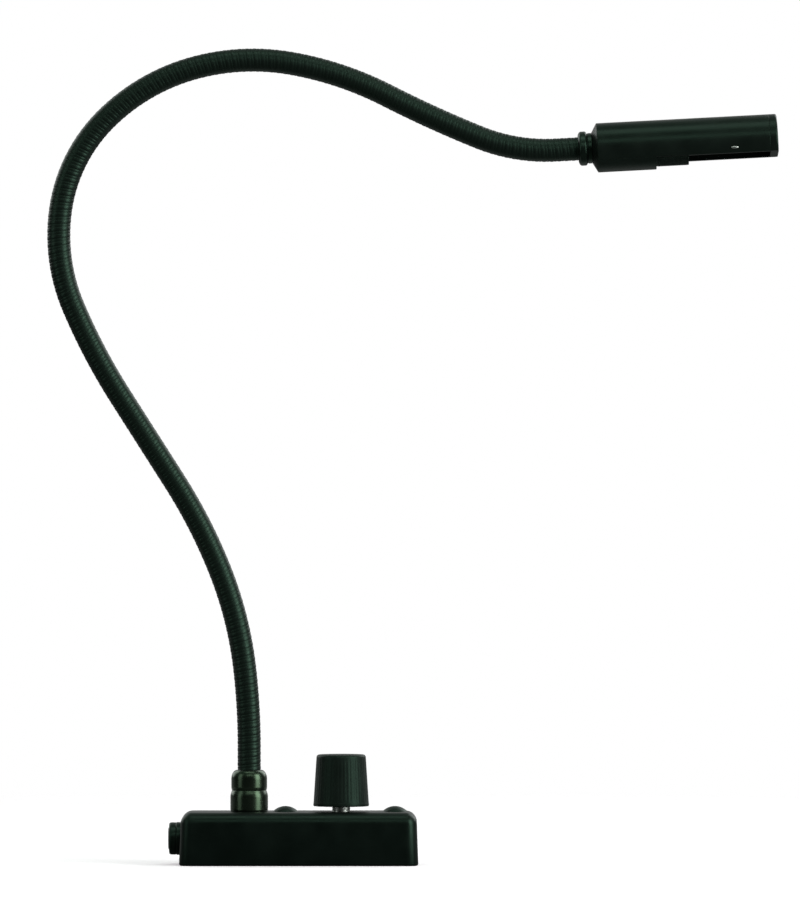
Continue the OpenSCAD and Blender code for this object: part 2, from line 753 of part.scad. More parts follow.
module stop_pin() {
    head_r = stop_pin_d / 2 + 0.35;
    head_h = 0.6;
    color("silver") at_hood() rotate([0, 0, stop_angle]) translate([0, 0, stop_z]) rotate([0, 90, 0]) {
        translate([0, 0, sleeve_bore_r + pass_gap])
            cylinder(d = stop_pin_d, h = hood_r - sleeve_bore_r - pass_gap + 0.1);
        translate([0, 0, hood_r - 0.02]) cylinder(r1 = head_r, r2 = head_r - 0.4, h = head_h);
    }
}

// Turning sleeve inside the shell: a knurled ring all round, then an open C up to the cap
module shutter() {
    teeth = [for (i = [0:2 * ring_teeth - 1])
        let (a = 180 * i / ring_teeth, r = i % 2 == 0 ? ring_r : ring_r - 0.25)
        [r * cos(a), r * sin(a)]];
    reach = 2 * hood_d;
    low = shutter_open[0];
    high = shutter_open[1];
    wedge = [[0, 0], [reach * cos(low), reach * sin(low)], [reach, 0], [reach * cos(high), reach * sin(high)]];
    color([0.05, 0.06, 0.055]) at_hood() difference() {
        union() {
            translate([0, 0, ring_z]) linear_extrude(ring_length) polygon(teeth);
            translate([0, 0, window_z - bite]) cylinder(r = sleeve_r, h = sleeve_end - window_z + bite);
        }
        translate([0, 0, ring_z - 1]) cylinder(r = sleeve_bore_r, h = hood_end);
        translate([0, 0, window_z]) linear_extrude(hood_end) polygon(wedge);
    }
}

// Children at the two pins of the bulb
module at_pins() {
    for (side = [-1, 1])
        translate([0, side * bulb_pin_gap / 2, 0]) children();
}

module lamp_socket() {
    contact_d = bulb_pin_d + 0.9;
    color("white") at_hood() translate([0, 0, socket_z]) difference() {
        cylinder(d = socket_d, h = socket_length);
        translate([0, 0, -1]) at_pins() cylinder(d = contact_d + 2 * running_fit, h = socket_length + 2);
    }
}

module socket_contacts() {
    contact_d = bulb_pin_d + 0.9;
    color("gold") at_hood() translate([0, 0, socket_z]) at_pins() difference() {
        cylinder(d = contact_d, h = socket_length);
        translate([0, 0, 2]) cylinder(d = bulb_pin_d + 2 * running_fit, h = socket_length);
    }
}

module bulb_base() {
    pin_length = 7;
    color("lightgray") at_hood() translate([0, 0, bulb_base_z]) {
        cylinder(d = bulb_d + 0.6, h = bulb_base_h);
        translate([0, 0, -pin_length]) at_pins() cylinder(d = bulb_pin_d, h = pin_length + bite);
    }
}

module bulb_glass() {
    inner_r = glass_r - bulb_wall;
    dome_z = bulb_length - glass_r;
    outline = concat(
        [[inner_r, 0], [glass_r, 0]],
        arc(0, dome_z, glass_r, 0, 90, 10),
        arc(0, dome_z, inner_r, 90, 0, 10)
    );
    color([0.9, 0.93, 0.95, 0.4]) at_hood() translate([0, 0, glass_z]) rotate_extrude() polygon(outline);
}

module filament() {
    wire_r = 0.25;
    coil_r = 0.6;
    half_span = 1.6;
    half_coil = half_span + 3 * wire_r;
    rise = bulb_length / 2;
    color("gray") at_hood() translate([0, 0, glass_z]) {
        for (side = [-1, 1])
            translate([0, side * half_span, 0]) cylinder(r = wire_r, h = rise, $fn = 16);
        translate([0, half_coil, rise]) rotate([90, 0, 0])
            cylinder(r = coil_r, h = 2 * half_coil, $fn = 24);
    }
}

base_case();
base_plate();
case_screws();
board_spacers();
circuit_board();
power_transistor();
filter_capacitor();
dimmer_body();
dimmer_bushing();
dimmer_shaft();
dimmer_knob();
neck_bushing();
neck_washer();
neck_nut();
neck_ferrule();
jack_body();
jack_nut();
jack_pin();
jack_tabs();
supply_wires();
for (k = [1:neck_sections]) {
    neck_section(k);
    lamp_lead(k);
}
hood_ferrule();
swivel_clip();
socket_housing();
hood_shell();
hood_end_cap();
stop_pin();
shutter();
lamp_socket();
socket_contacts();
bulb_base();
bulb_glass();
filament();
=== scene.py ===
import json
import math

import bmesh
import bpy
import numpy as np
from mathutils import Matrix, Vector


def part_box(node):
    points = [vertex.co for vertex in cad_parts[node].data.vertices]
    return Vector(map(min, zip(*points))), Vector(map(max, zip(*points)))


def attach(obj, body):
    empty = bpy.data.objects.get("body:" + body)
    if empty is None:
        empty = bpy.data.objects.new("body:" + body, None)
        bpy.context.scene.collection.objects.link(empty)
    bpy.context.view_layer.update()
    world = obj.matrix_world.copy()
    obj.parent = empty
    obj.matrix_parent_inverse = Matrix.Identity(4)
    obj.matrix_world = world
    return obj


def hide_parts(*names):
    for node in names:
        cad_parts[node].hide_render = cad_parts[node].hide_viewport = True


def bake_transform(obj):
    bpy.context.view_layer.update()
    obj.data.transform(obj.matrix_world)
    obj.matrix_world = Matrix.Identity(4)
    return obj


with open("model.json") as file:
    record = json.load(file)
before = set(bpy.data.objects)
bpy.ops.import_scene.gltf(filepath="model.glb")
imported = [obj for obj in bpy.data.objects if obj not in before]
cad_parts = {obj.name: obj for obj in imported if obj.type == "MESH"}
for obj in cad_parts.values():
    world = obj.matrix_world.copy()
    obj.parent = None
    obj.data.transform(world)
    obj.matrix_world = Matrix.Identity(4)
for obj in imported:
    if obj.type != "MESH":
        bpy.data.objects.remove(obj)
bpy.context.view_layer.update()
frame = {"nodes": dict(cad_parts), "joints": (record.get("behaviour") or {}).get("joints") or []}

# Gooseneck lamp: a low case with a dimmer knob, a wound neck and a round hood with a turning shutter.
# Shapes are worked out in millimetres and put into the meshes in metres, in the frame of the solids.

scene = bpy.context.scene
MM = 0.001
TURN = 2 * math.pi
UP = np.array([0.0, 0.0, 1.0])
SIDE = np.array([0.0, 1.0, 0.0])
joints = {joint["name"]: joint for joint in frame["joints"]}


# Camera at the photograph's angle
CAMERA_PLACE = (0.0381, -3.6, 0.15485)
CAMERA_LENS = 378.3
SENSOR = 36.0

camera = bpy.data.objects.new("camera", bpy.data.cameras.new("camera"))
camera.location = CAMERA_PLACE
camera.rotation_euler = (math.pi / 2, 0, 0)
camera.data.sensor_width = SENSOR
camera.data.lens = CAMERA_LENS
scene.collection.objects.link(camera)
scene.camera = camera
scene.view_settings.view_transform = "Standard"


# Sizes that the solids' boxes don't give, in millimetres and degrees, with counts and shares; _R is a radius

# Overlap between the parts of one piece
OVERLAP = 0.02

# Case and its screws
CASE_DRAFT = 0.5
CASE_EDGE = 3.0
CASE_TOP_EDGE = 4.4
CASE_CORNER = 4.4
CASE_FOOT = 0.8
CASE_WALL = 2.0
CASE_INNER_CORNER = 0.3
PLATE_LEDGE = 0.8
SCREW_HEAD_R = 4.8
SCREW_SHANK_R = 2.0
SCREW_SLOT = 1.2
SLOT_LIP = 0.12
SLOT_LIP_DROP = 0.1
SLOT_FLOOR_SHARE = 0.45
SCREW_SINK = 0.05

# Dimmer knob and its bushing
KNOB_TOP_R = 9.25
KNOB_LIP = 1.3
KNOB_LIP_STEP = 0.08
KNOB_EDGE = 1.2
KNOB_DISH = 0.5
KNOB_BORE_R = 2.85
KNOB_BORE_DEPTH = 15.2
KNOB_RECESS_R = 3.8
KNOB_RECESS_DEPTH = 2.2
KNOB_RIBS = 44
RIB_DEPTH = 0.06
THREAD_ROOT_R = 3.32
THREAD_DEPTH = 0.08
THREAD_RISE = 0.75
BUSHING_BORE_R = 2.86

# Power jack and its wires
JACK_HOLE_R = 4.06
JACK_R = 4.0
JACK_BORE_R = 2.8
JACK_PIN_HOLE_R = 1.11
JACK_REAR = -11.0
JACK_REAR_R = 4.5
JACK_FLANGE_R = 5.2
JACK_FLANGE = (-4.2, -2.2)
WIRE_R = 0.7
WIRE_TAB_Y = 2.5

# Neck, its two tiers and the lamp lead
TIER_R = 7.1
TIER_WAIST_R = 6.5
TIER_SHOULDER = 1.7
TIER_SOCKET_R = 5.0
TIER_SOCKET_DEPTH = 4.6
FERRULE_R = 6.75
FERRULE_SHOULDER = 3.4
SPIGOT_LENGTH = 4.4
TAIL_R = 4.9
NECK_LENGTH = 457.2
NECK_BENDS = [-6.5, -15, -11, 0, 9.5, 31.5, 36.5, 29, 26, 17, -5, -25]
NECK_STRAIGHT = 8.6
NECK_R = 4.4
NECK_BORE_R = 1.9
NECK_TURNS = 14
NECK_SEAT = 6.8
TIP_SEAT = 2.9
BEND_MARGIN = 1.2
BROAD_WIRE = 0.62
BROAD_DEEP = 0.17
WEDGE_SUNK = 0.05
WEDGE_DEEP = 0.1
WIRE_POWER = 3.5
LEAD_R = 1.2
LEAD_START = -22.0
LEAD_TAIL = 14.3
LEAD_BEND_R = 6.0
LEAD_STEP = 2.5

# Bead at the neck's tip: radii, and stations along the hood's axis
BEAD_R = 6.45
BEAD_END = 3.0
BEAD_SEAT = 3.02
WAIST_R = 5.5
WAIST_STATION = 3.5
COLLAR_R = 5.75
COLLAR_START = 3.8
COLLAR_END = 5.1
JOURNAL_R = 4.0
JOURNAL_END = 14.5
CLIP_R = 3.2
CLIP_GROOVE = (12.6, 13.6)

# Hood, shutter and bulb: radii, and stations along the hood's axis
HOOD_R = 9.3
SHELL_BORE_R = 8.4
HOOD_CUT = 5.8
SPIGOT_CUT = 3.0
HOOD_ROLL = 8.0
CONE_START = 5.2
BODY_START = 7.2
SOCKET_START = 12.4
SOCKET_BORE_R = 5.96
JOURNAL_BORE_R = 4.06
HOUSING_END = 29.15
RING_START = 29.3
HOUSING_SPIGOT = 4.0
WINDOW_START = 41.4
CAP_START = 72.3
CAP_SPIGOT = 4.8
HOOD_END = 75.3
KNURL_R = 8.26
KNURL_TEETH = 60
KNURL_DEPTH = 0.3
KNURL_EDGE = 0.4
KNURL_EDGE_DROP = 0.12
SLEEVE_R = 8.2
SLEEVE_BORE_R = 7.35
SLEEVE_GAP = 0.12
SPIGOT_R = 7.25
SHUTTER_OPEN = (-72.0, 71.0)
STOP_STATION = 58.8
STOP_ANGLE = -65.0
RIVET_START = 7.55
RIVET_R = 0.75
RIVET_HEAD_R = 1.1
RIVET_OVAL = (1.3, 0.46)
GLASS_START = 37.3
GLASS_R = 4.6
GLASS_LENGTH = 19.0
GLASS_WALL = 0.8
BULB_FOOT = 4.6
BULB_FOOT_RIM = 0.3
BULB_PIN_R = 0.5
BULB_PIN_LENGTH = 7.0
BULB_PIN_SIDE = 2.5


# Sizes read from the solids, in millimetres

def node_box(node):
    """Lowest and highest corner of a solid, in millimetres."""
    return [np.array(corner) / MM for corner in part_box(node)]


def middle_of(node):
    """Middle of a solid's box, in millimetres."""
    return sum(node_box(node)) / 2


case_high = node_box("base_case")[1]
case_top = case_high[2]
plate_top = node_box("base_plate")[1][2]
knob_low, knob_high = node_box("dimmer_knob")
knob_x = middle_of("dimmer_knob")[0]
bushing_low, bushing_high = node_box("dimmer_bushing")
neck_x = middle_of("neck_ferrule")[0]
tier_top = node_box("neck_ferrule")[0][2] + SPIGOT_LENGTH
ferrule_top = node_box("neck_ferrule")[1][2]
jack_low, jack_high = node_box("jack_nut")
jack_z = middle_of("jack_nut")[2]
screw_low, screw_high = node_box("case_screws")


# Angles and arrays

def quarter_turn(count):
    """Angles from nothing to a quarter turn."""
    return np.linspace(0, TURN / 4, count)


def full_turn(count):
    """Angles of points round a full ring, evenly apart."""
    return np.arange(count) * TURN / count


def columns(*parts):
    """Array with the parts side by side along its last axis, all spread to one shape."""
    return np.stack(np.broadcast_arrays(*parts), -1)


# Centre line of the neck

section = NECK_LENGTH / len(NECK_BENDS)
pitch = section / NECK_TURNS
end_trim = np.zeros(len(NECK_BENDS))
end_trim[[0, -1]] = NECK_STRAIGHT
span_length = np.concatenate([[NECK_STRAIGHT], section - end_trim, [NECK_STRAIGHT]])
span_bend = np.radians(np.concatenate([[0], NECK_BENDS, [0]]))
span_start = np.concatenate([[0], np.cumsum(span_length)[:-1]])
span_heading = np.concatenate([[0], np.cumsum(span_bend)[:-1]])


def chord(length, bend):
    """Straight distance across an arc: length times the sine of half its bend over half its bend."""
    return length * np.sinc(bend / TURN)


span_middle = span_heading + span_bend / 2
span_step = chord(span_length, span_bend)[:, None] * columns(np.sin(span_middle), np.cos(span_middle))
span_origin = np.array([neck_x, ferrule_top]) + np.concatenate([[[0, 0]], np.cumsum(span_step, 0)[:-1]])


def along_neck(s):
    """Centre and across-direction at the distance s along the neck: a chain of arcs, straight at its ends."""
    s = np.asarray(s, float)
    i = np.clip(np.searchsorted(span_start, s, "right") - 1, 0, len(span_start) - 1)
    gone = s - span_start[i]
    bend = span_bend[i] * gone / span_length[i]
    reach = chord(gone, bend)
    heading = span_heading[i] + bend
    x = span_origin[i, 0] + reach * np.sin(span_heading[i] + bend / 2)
    z = span_origin[i, 1] + reach * np.cos(span_heading[i] + bend / 2)
    return columns(x, 0.0, z), columns(np.cos(heading), 0.0, -np.sin(heading))


# Places that pieces are made in: origin, two cross directions and the axis

def place(origin, across, along):
    """A right-handed place from its origin, one cross direction and its axis."""
    across, along = np.array(across, float), np.array(along, float)
    return np.array(origin, float), across, np.cross(along, across), along


tip, tip_across = along_neck(NECK_LENGTH)
hood_axis = np.array(joints["hood_swivel"]["axis"])
roll = math.radians(HOOD_ROLL)
hood = place(tip, math.cos(roll) * tip_across - math.sin(roll) * SIDE, hood_axis)
knob_place = place([knob_x, 0, 0], [1, 0, 0], UP)
neck_place = place([neck_x, 0, 0], [1, 0, 0], UP)
jack_place = place([jack_high[0], 0, jack_z], [0, 0, 1], [-1, 0, 0])


# Meshes

# Points weld where they share a cell, whose edges are shifted off round numbers; millimetres
WELD_CELL = 2e-4
WELD_SHIFT = 0.31
# Points closer than this join, and shorter edges go; metres
SAME_SPOT = 2e-7
NO_LENGTH = 1e-8
BEVEL_STEPS = 3
BEVEL_ANGLE = 40


def grid_faces(rows, cols, wrap_rows, wrap_cols, climb):
    """Quads between neighbouring points of a grid; a wrapped direction joins its last line to its first. The
    last column meets the first one as many rows further on as the climb says, as in a helix."""
    i = np.arange(rows if wrap_rows else rows - 1)[:, None]
    j = np.arange(cols if wrap_cols else cols - 1)[None, :]
    down, right = (i + 1) % rows, (j + 1) % cols
    lift = np.where(j == cols - 1, climb, 0)
    quads = columns(i * cols + j, (i + lift) * cols + right, (down + lift) * cols + right, down * cols + j)
    return quads[down + lift < rows]


def welded(points, quads, values):
    """Joins points that share a spot; a quad may become a triangle, and one that shrinks to a line goes."""
    spots = np.round(points / WELD_CELL + WELD_SHIFT).astype(np.int64)
    _, first, index = np.unique(spots, axis=0, return_index=True, return_inverse=True)
    quads = index.reshape(-1)[quads]
    same = quads == np.roll(quads, -1, 1)
    whole = quads[~same.any(1)]
    lone = same.sum(1) == 1
    bent = quads[lone]
    keep = np.argsort(same[lone], axis=1, kind="stable")[:, :3]
    triangles = np.take_along_axis(bent, np.sort(keep, 1), 1)
    whole = whole[(whole[:, 0] != whole[:, 2]) & (whole[:, 1] != whole[:, 3])]
    return points[first], whole.tolist() + triangles.tolist(), values[first]


class Shape:
    """Points in millimetres, quads and one value per point, gathered from several grids, and flat faces."""

    def __init__(self):
        self.points, self.quads, self.values, self.polygons, self.count = [], [], [], [], 0

    def grid(self, points, wrap_rows=False, wrap_cols=False, values=0.0, climb=0):
        """Adds a grid of points with rows and columns."""
        rows, cols = points.shape[:2]
        self.points.append(points.reshape(-1, 3))
        self.quads.append(grid_faces(rows, cols, wrap_rows, wrap_cols, climb) + self.count)
        self.values.append(np.broadcast_to(values, (rows, cols)).ravel())
        self.count += rows * cols
        return self

    def polygon(self, points):
        """Adds one flat face."""
        self.polygons.append(points)
        return self

    def mesh(self, name, sharp):
        """The welded mesh in metres, faces outwards, smooth but for edges sharper than the given angle."""
        gathered = (self.points, self.quads, self.values)
        points, faces, values = welded(*(np.concatenate(grids) for grids in gathered))
        corners = points.tolist()
        for polygon in self.polygons:
            faces.append(list(range(len(corners), len(corners) + len(polygon))))
            corners += polygon.tolist()
        values = np.concatenate([values, np.zeros(len(corners) - len(values))])
        mesh = bpy.data.meshes.new(name)
        mesh.from_pydata((np.array(corners) * MM).tolist(), [], faces)
        relief = mesh.attributes.new("relief", "FLOAT", "POINT")
        relief.data.foreach_set("value", values.astype(np.float32))
        form = bmesh.new()
        form.from_mesh(mesh)
        bmesh.ops.remove_doubles(form, verts=form.verts, dist=SAME_SPOT)
        bmesh.ops.dissolve_degenerate(form, edges=form.edges, dist=NO_LENGTH)
        bmesh.ops.recalc_face_normals(form, faces=form.faces)
        form.to_mesh(mesh)
        form.free()
        mesh.shade_smooth()
        mesh.set_sharp_from_angle(angle=math.radians(sharp))
        return mesh


def piece(name, shape, finish, body=None, stands_for=(), sharp=35, bevel=0.0):
    """One visible piece: its mesh and finish, the body it rides on and the solids it stands for."""
    obj = bpy.data.objects.new(name, shape.mesh(name, sharp))
    obj.data.materials.append(finishes[finish])
    scene.collection.objects.link(obj)
    if bevel:
        rounding = obj.modifiers.new("edge", "BEVEL")
        rounding.width = bevel * MM
        rounding.segments = BEVEL_STEPS
        rounding.limit_method = "ANGLE"
        rounding.angle_limit = math.radians(BEVEL_ANGLE)
        rounding.harden_normals = True
    if body:
        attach(obj, body)
    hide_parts(*stands_for)
    return obj


# Shapes that several pieces share

# Largest share of its shorter side that a rounded corner takes up
CORNER_SHARE = 0.48


def rounded(corners, steps=6):
    """Closed outline through (x, y, size) corners: each becomes a parabola that touches both of its sides at
    that distance from it."""
    corners = np.array(corners, float)
    spot, size = corners[:, :2], corners[:, 2:]
    back, ahead = np.roll(spot, 1, 0) - spot, np.roll(spot, -1, 0) - spot
    back_length, ahead_length = (np.linalg.norm(side, axis=1)[:, None] for side in (back, ahead))
    cut = np.minimum(size, np.minimum(back_length, ahead_length) * CORNER_SHARE)
    start, end = spot + cut * back / back_length, spot + cut * ahead / ahead_length
    t = np.linspace(0, 1, steps + 1)[None, :, None]
    curve = (1 - t) ** 2 * start[:, None] + 2 * t * (1 - t) * spot[:, None] + t ** 2 * end[:, None]
    return curve.reshape(-1, 2)


def set_in(where, r, angle, z):
    """Point of a place: r times cos(angle) across, r times sin(angle) aside, and z along its axis."""
    origin, across, aside, along = where
    r, angle, z = np.broadcast_arrays(r, angle, z)
    return (origin + (r * np.cos(angle))[..., None] * across + (r * np.sin(angle))[..., None] * aside
            + z[..., None] * along)


def lathe(shape, outline, where, sides=72):
    """Surface of revolution: each (r, z) of the closed outline goes once round the axis of the place."""
    return shape.grid(set_in(where, outline[:, :1], full_turn(sides), outline[:, 1:]), True, True)


def cut_lathe(shape, outline, where, low, high, cols):
    """Part of a turn with flat ends: each (r, z) of the outline sweeps from the angle low to high, which are
    numbers, or columns with one row per point."""
    angle = low + (high - low) * np.linspace(0, 1, cols)
    points = set_in(where, outline[:, :1], angle, outline[:, 1:])
    return shape.grid(points, True, False).polygon(points[:, 0]).polygon(points[:, -1])


def chord_angle(r, cut):
    """Half angle at which a circle of radius r meets a flat cut; nothing for a circle inside it."""
    return np.arccos(np.clip(cut / np.maximum(r, 1e-6), -1, 1))


def flat_cut_lathe(shape, outline, where, cut, cols=97):
    """Solid of revolution with one side cut flat: each circle stops at the cut, and a chord closes it."""
    low = chord_angle(outline[:, :1], cut)
    angle = low + (TURN - 2 * low) * np.linspace(0, 1, cols)
    return shape.grid(set_in(where, outline[:, :1], angle, outline[:, 1:]), False, True)


def spokes(angle, across, aside):
    """Unit vectors round each centre of a line: cos(angle) across and sin(angle) aside."""
    return np.cos(angle)[None, :, None] * across[:, None] + np.sin(angle)[None, :, None] * aside[:, None]


def tube(shape, centre, across, aside, radius, sides=16):
    """Round tube with flat ends along centre points: the radius times a ring of spokes at each of them."""
    ring = spokes(full_turn(sides), across, aside)
    shape.grid(centre[:, None] + radius * ring, False, True)
    return shape.polygon(centre[0] + radius * ring[0]).polygon(centre[-1] + radius * ring[-1])


def wound_tube(shape, path, start, end, rise, radius, bore_r, steps=12, sides=48):
    """Tube with a helical relief: at the distance s and angle a the radius is radius(s / rise - a / turn).
    Grid rows follow the helix, so that its creases stay sharp; rows past an end are pulled back to it."""
    angle = full_turn(sides)
    first, last = math.floor(start / rise) - 2, math.ceil(end / rise) + 2
    phase = first + np.arange((last - first) * steps + 1) / steps
    s = np.clip((phase[:, None] + angle / TURN) * rise, start, end)
    r, relief = radius(s / rise - angle / TURN)
    centre, across = path(s)
    points = centre + r[..., None] * (np.cos(angle)[:, None] * across + np.sin(angle)[:, None] * SIDE)
    shape.grid(points, False, True, relief, steps)
    stations = np.concatenate([[end], np.linspace(end, start, max(3, int((end - start) / 2))), [start]])
    centre, across = path(stations)
    bore = np.full((len(stations), sides), bore_r)
    bore[0] = radius(end / rise - angle / TURN)[0]
    bore[-1] = radius(start / rise - angle / TURN)[0]
    ring = spokes(angle, across, np.broadcast_to(SIDE, across.shape))
    return shape.grid(centre[:, None] + bore[..., None] * ring, False, True)


# Finishes

# Size of the wide faint patches of handling, in millimetres
PATCH = 9.0
# Black finishes shine a little green, and the ferrules a warmer green
WHITE_SHEEN = (1.0, 1.0, 1.0, 1)
GREEN_SHEEN = (0.5, 1.0, 0.7, 1)
FERRULE_SHEEN = (0.63, 1.0, 0.62, 1)
# Kinds of grained finish: how metallic, the tint of the shine, and the grain's factors along the three axes
EVEN = (1, 1, 1)
PLAIN = (0.0, WHITE_SHEEN, EVEN)
BLACK = (0.0, GREEN_SHEEN, EVEN)
DRAWN = (0.0, GREEN_SHEEN, (0.12, 1, 1))
GLOSS = (0.0, FERRULE_SHEEN, EVEN)
METAL = (1.0, WHITE_SHEEN, EVEN)
TURNED = (1.0, WHITE_SHEEN, (1, 1, 6))


def feed(tree, node, inputs):
    """Gives each input of a node its constant, or a link from the output it is given."""
    for name, value in inputs.items():
        if isinstance(value, bpy.types.NodeSocket):
            tree.links.new(value, node.inputs[name])
        else:
            node.inputs[name].default_value = value


def added(tree, kind, output, inputs=None, operation=None):
    """Output of a new shader node of the kind, with its inputs and, for sums, its operation."""
    node = tree.nodes.new("ShaderNode" + kind)
    if operation:
        node.operation = operation
    feed(tree, node, inputs or {})
    return node.outputs[output]


# All materials by name
finishes = {}


def tree_of(name):
    """Node tree and main shader of a new material, which joins the finishes."""
    material = bpy.data.materials.new(name)
    material.use_nodes = True
    finishes[name] = material
    return material.node_tree, material.node_tree.nodes["Principled BSDF"]


def grain(tree, size, detail=3.0, stretch=EVEN):
    """Noise of about the given grain in millimetres; a factor under one draws it out along that axis."""
    spot = added(tree, "TexCoord", "Object")
    vector = added(tree, "Mapping", "Vector", {"Vector": spot, "Scale": stretch})
    return added(tree, "TexNoise", "Fac", {"Vector": vector, "Scale": 1 / (size * MM), "Detail": detail})


def between(tree, value, low, high, start=0.3, end=0.7):
    """The value's stretch from start to end, as a number from low to high."""
    span = {"From Min": start, "From Max": end, "To Min": low, "To Max": high}
    return added(tree, "MapRange", "Result", {"Value": value, **span})


def blend_colour(tree, value, dark, light, start=0.3, end=0.7):
    """Colour from dark to light as the value goes from start to end."""
    ramp = tree.nodes.new("ShaderNodeValToRGB")
    for element, position, colour in zip(ramp.color_ramp.elements, (start, end), (dark, light)):
        element.position = position
        element.color = (*colour, 1)
    feed(tree, ramp, {"Fac": value})
    return ramp.outputs["Color"]


def raised(tree, value, height):
    """Bump of the given height in millimetres."""
    return added(tree, "Bump", "Normal", {"Height": value, "Distance": height * MM, "Strength": 1.0})


def grained_finish(name, dark, light, size, smooth, rough, height, shine, kind):
    """Finish with a fine grain: bump from noise of that grain, colour and roughness from wide patches."""
    metallic, tint, stretch = kind
    tree, shader = tree_of(name)
    wide = grain(tree, PATCH, 4.0)
    feed(tree, shader, {
        "Base Color": blend_colour(tree, wide, dark, light),
        "Roughness": between(tree, wide, smooth, rough),
        "Normal": raised(tree, grain(tree, size, stretch=stretch), height),
        "Metallic": metallic,
        "Specular IOR Level": shine,
        "Specular Tint": tint,
    })


def wound_finish():
    """Lacquered steel wire, by the piece's own relief: darker and duller in the grooves than on crests."""
    tree, shader = tree_of("neck_lacquer")
    relief = tree.nodes.new("ShaderNodeAttribute")
    relief.attribute_name = "relief"
    crest = relief.outputs["Fac"]
    feed(tree, shader, {
        "Base Color": blend_colour(tree, crest, (0.003, 0.0043, 0.0036), (0.005, 0.007, 0.006), 0.1, 1.0),
        "Roughness": between(tree, crest, 0.5, 0.4, 0.2, 0.9),
        "Normal": raised(tree, grain(tree, 0.35), 0.004),
        "Specular IOR Level": 0.28,
        "Specular Tint": GREEN_SHEEN,
    })


def clear_glass():
    """Thin clear glass with faint ripples."""
    tree, shader = tree_of("bulb_glass_clear")
    ripple = grain(tree, 6.0)
    feed(tree, shader, {
        "Base Color": (0.97, 0.99, 1.0, 1),
        "Roughness": between(tree, ripple, 0.0, 0.03),
        "Normal": raised(tree, ripple, 0.05),
        "Transmission Weight": 1.0,
        "IOR": 1.47,
    })


def etched_board():
    """Green board lacquer over copper tracks: bands of a brick pattern, lighter where there is copper."""
    tree, shader = tree_of("board_lacquer")
    tracks = added(tree, "TexBrick", "Color", {
        "Vector": added(tree, "TexCoord", "Object"),
        "Scale": 120,
        "Mortar Size": 0.04,
        "Color1": (0.01, 0.07, 0.03, 1),
        "Color2": (0.012, 0.09, 0.035, 1),
        "Mortar": (0.06, 0.2, 0.06, 1),
    })
    feed(tree, shader, {"Base Color": tracks, "Roughness": between(tree, grain(tree, 2.0), 0.3, 0.45)})


# Grained finishes: dark and light colour, grain in millimetres, least and most roughness, height of the bump
# in millimetres, strength of the shine, and kind
GRAINED = [
    ("case_moulding", (0.0026, 0.0038, 0.0033), (0.004, 0.0058, 0.005), 0.45, 0.3, 0.4, 0.016, 0.2, BLACK),
    ("plate_paint", (0.008, 0.008, 0.008), (0.014, 0.014, 0.014), 0.5, 0.5, 0.62, 0.04, 0.3, PLAIN),
    ("screw_blacking", (0.004, 0.0058, 0.005), (0.0065, 0.009, 0.0078), 0.3, 0.3, 0.42, 0.01, 0.22, BLACK),
    ("knob_moulding", (0.0058, 0.0082, 0.007), (0.0078, 0.011, 0.0094), 0.3, 0.42, 0.5, 0.006, 0.17, BLACK),
    ("ferrule_lacquer", (0.0022, 0.0028, 0.0022), (0.004, 0.0048, 0.004),
     2.5, 0.22, 0.28, 0.003, 0.62, GLOSS),
    ("bead_lacquer", (0.0026, 0.0038, 0.0032), (0.0042, 0.006, 0.005), 0.6, 0.26, 0.33, 0.004, 0.34, BLACK),
    ("jack_moulding", (0.004, 0.0056, 0.0048), (0.0065, 0.009, 0.0078), 0.3, 0.28, 0.38, 0.008, 0.25, BLACK),
    ("hood_satin", (0.0044, 0.0063, 0.0053), (0.0065, 0.0092, 0.0077), 0.3, 0.28, 0.36, 0.005, 0.18, DRAWN),
    ("shutter_satin", (0.004, 0.0056, 0.0048), (0.0065, 0.009, 0.0078), 0.3, 0.36, 0.46, 0.008, 0.2, BLACK),
    ("bright_metal", (0.62, 0.64, 0.61), (0.78, 0.8, 0.77), 0.12, 0.28, 0.42, 0.004, 0.5, TURNED),
    ("bushing_plating", (0.32, 0.35, 0.32), (0.44, 0.47, 0.44), 0.12, 0.36, 0.46, 0.004, 0.5, TURNED),
    ("contact_brass", (0.55, 0.43, 0.2), (0.72, 0.58, 0.3), 0.3, 0.22, 0.36, 0.01, 0.5, METAL),
    ("part_moulding", (0.01, 0.01, 0.01), (0.018, 0.018, 0.018), 0.25, 0.42, 0.55, 0.02, 0.3, PLAIN),
    ("dimmer_moulding", (0.03, 0.03, 0.028), (0.045, 0.045, 0.042), 0.3, 0.4, 0.55, 0.02, 0.5, PLAIN),
    ("capacitor_sleeve", (0.008, 0.018, 0.085), (0.012, 0.026, 0.12), 0.5, 0.18, 0.28, 0.01, 0.5, PLAIN),
    ("wire_rubber", (0.12, 0.008, 0.006), (0.17, 0.012, 0.009), 0.4, 0.4, 0.55, 0.02, 0.5, PLAIN),
    ("lead_rubber", (0.012, 0.012, 0.012), (0.02, 0.02, 0.02), 0.4, 0.5, 0.62, 0.02, 0.5, PLAIN),
    ("socket_ceramic", (0.62, 0.61, 0.57), (0.72, 0.71, 0.67), 0.5, 0.35, 0.5, 0.02, 0.5, PLAIN),
    ("filament_tungsten", (0.16, 0.16, 0.16), (0.24, 0.24, 0.24), 0.1, 0.35, 0.5, 0.005, 0.5, METAL),
]
for row in GRAINED:
    grained_finish(*row)
wound_finish()
clear_glass()
etched_board()


# Case: rings of a rounded rectangle

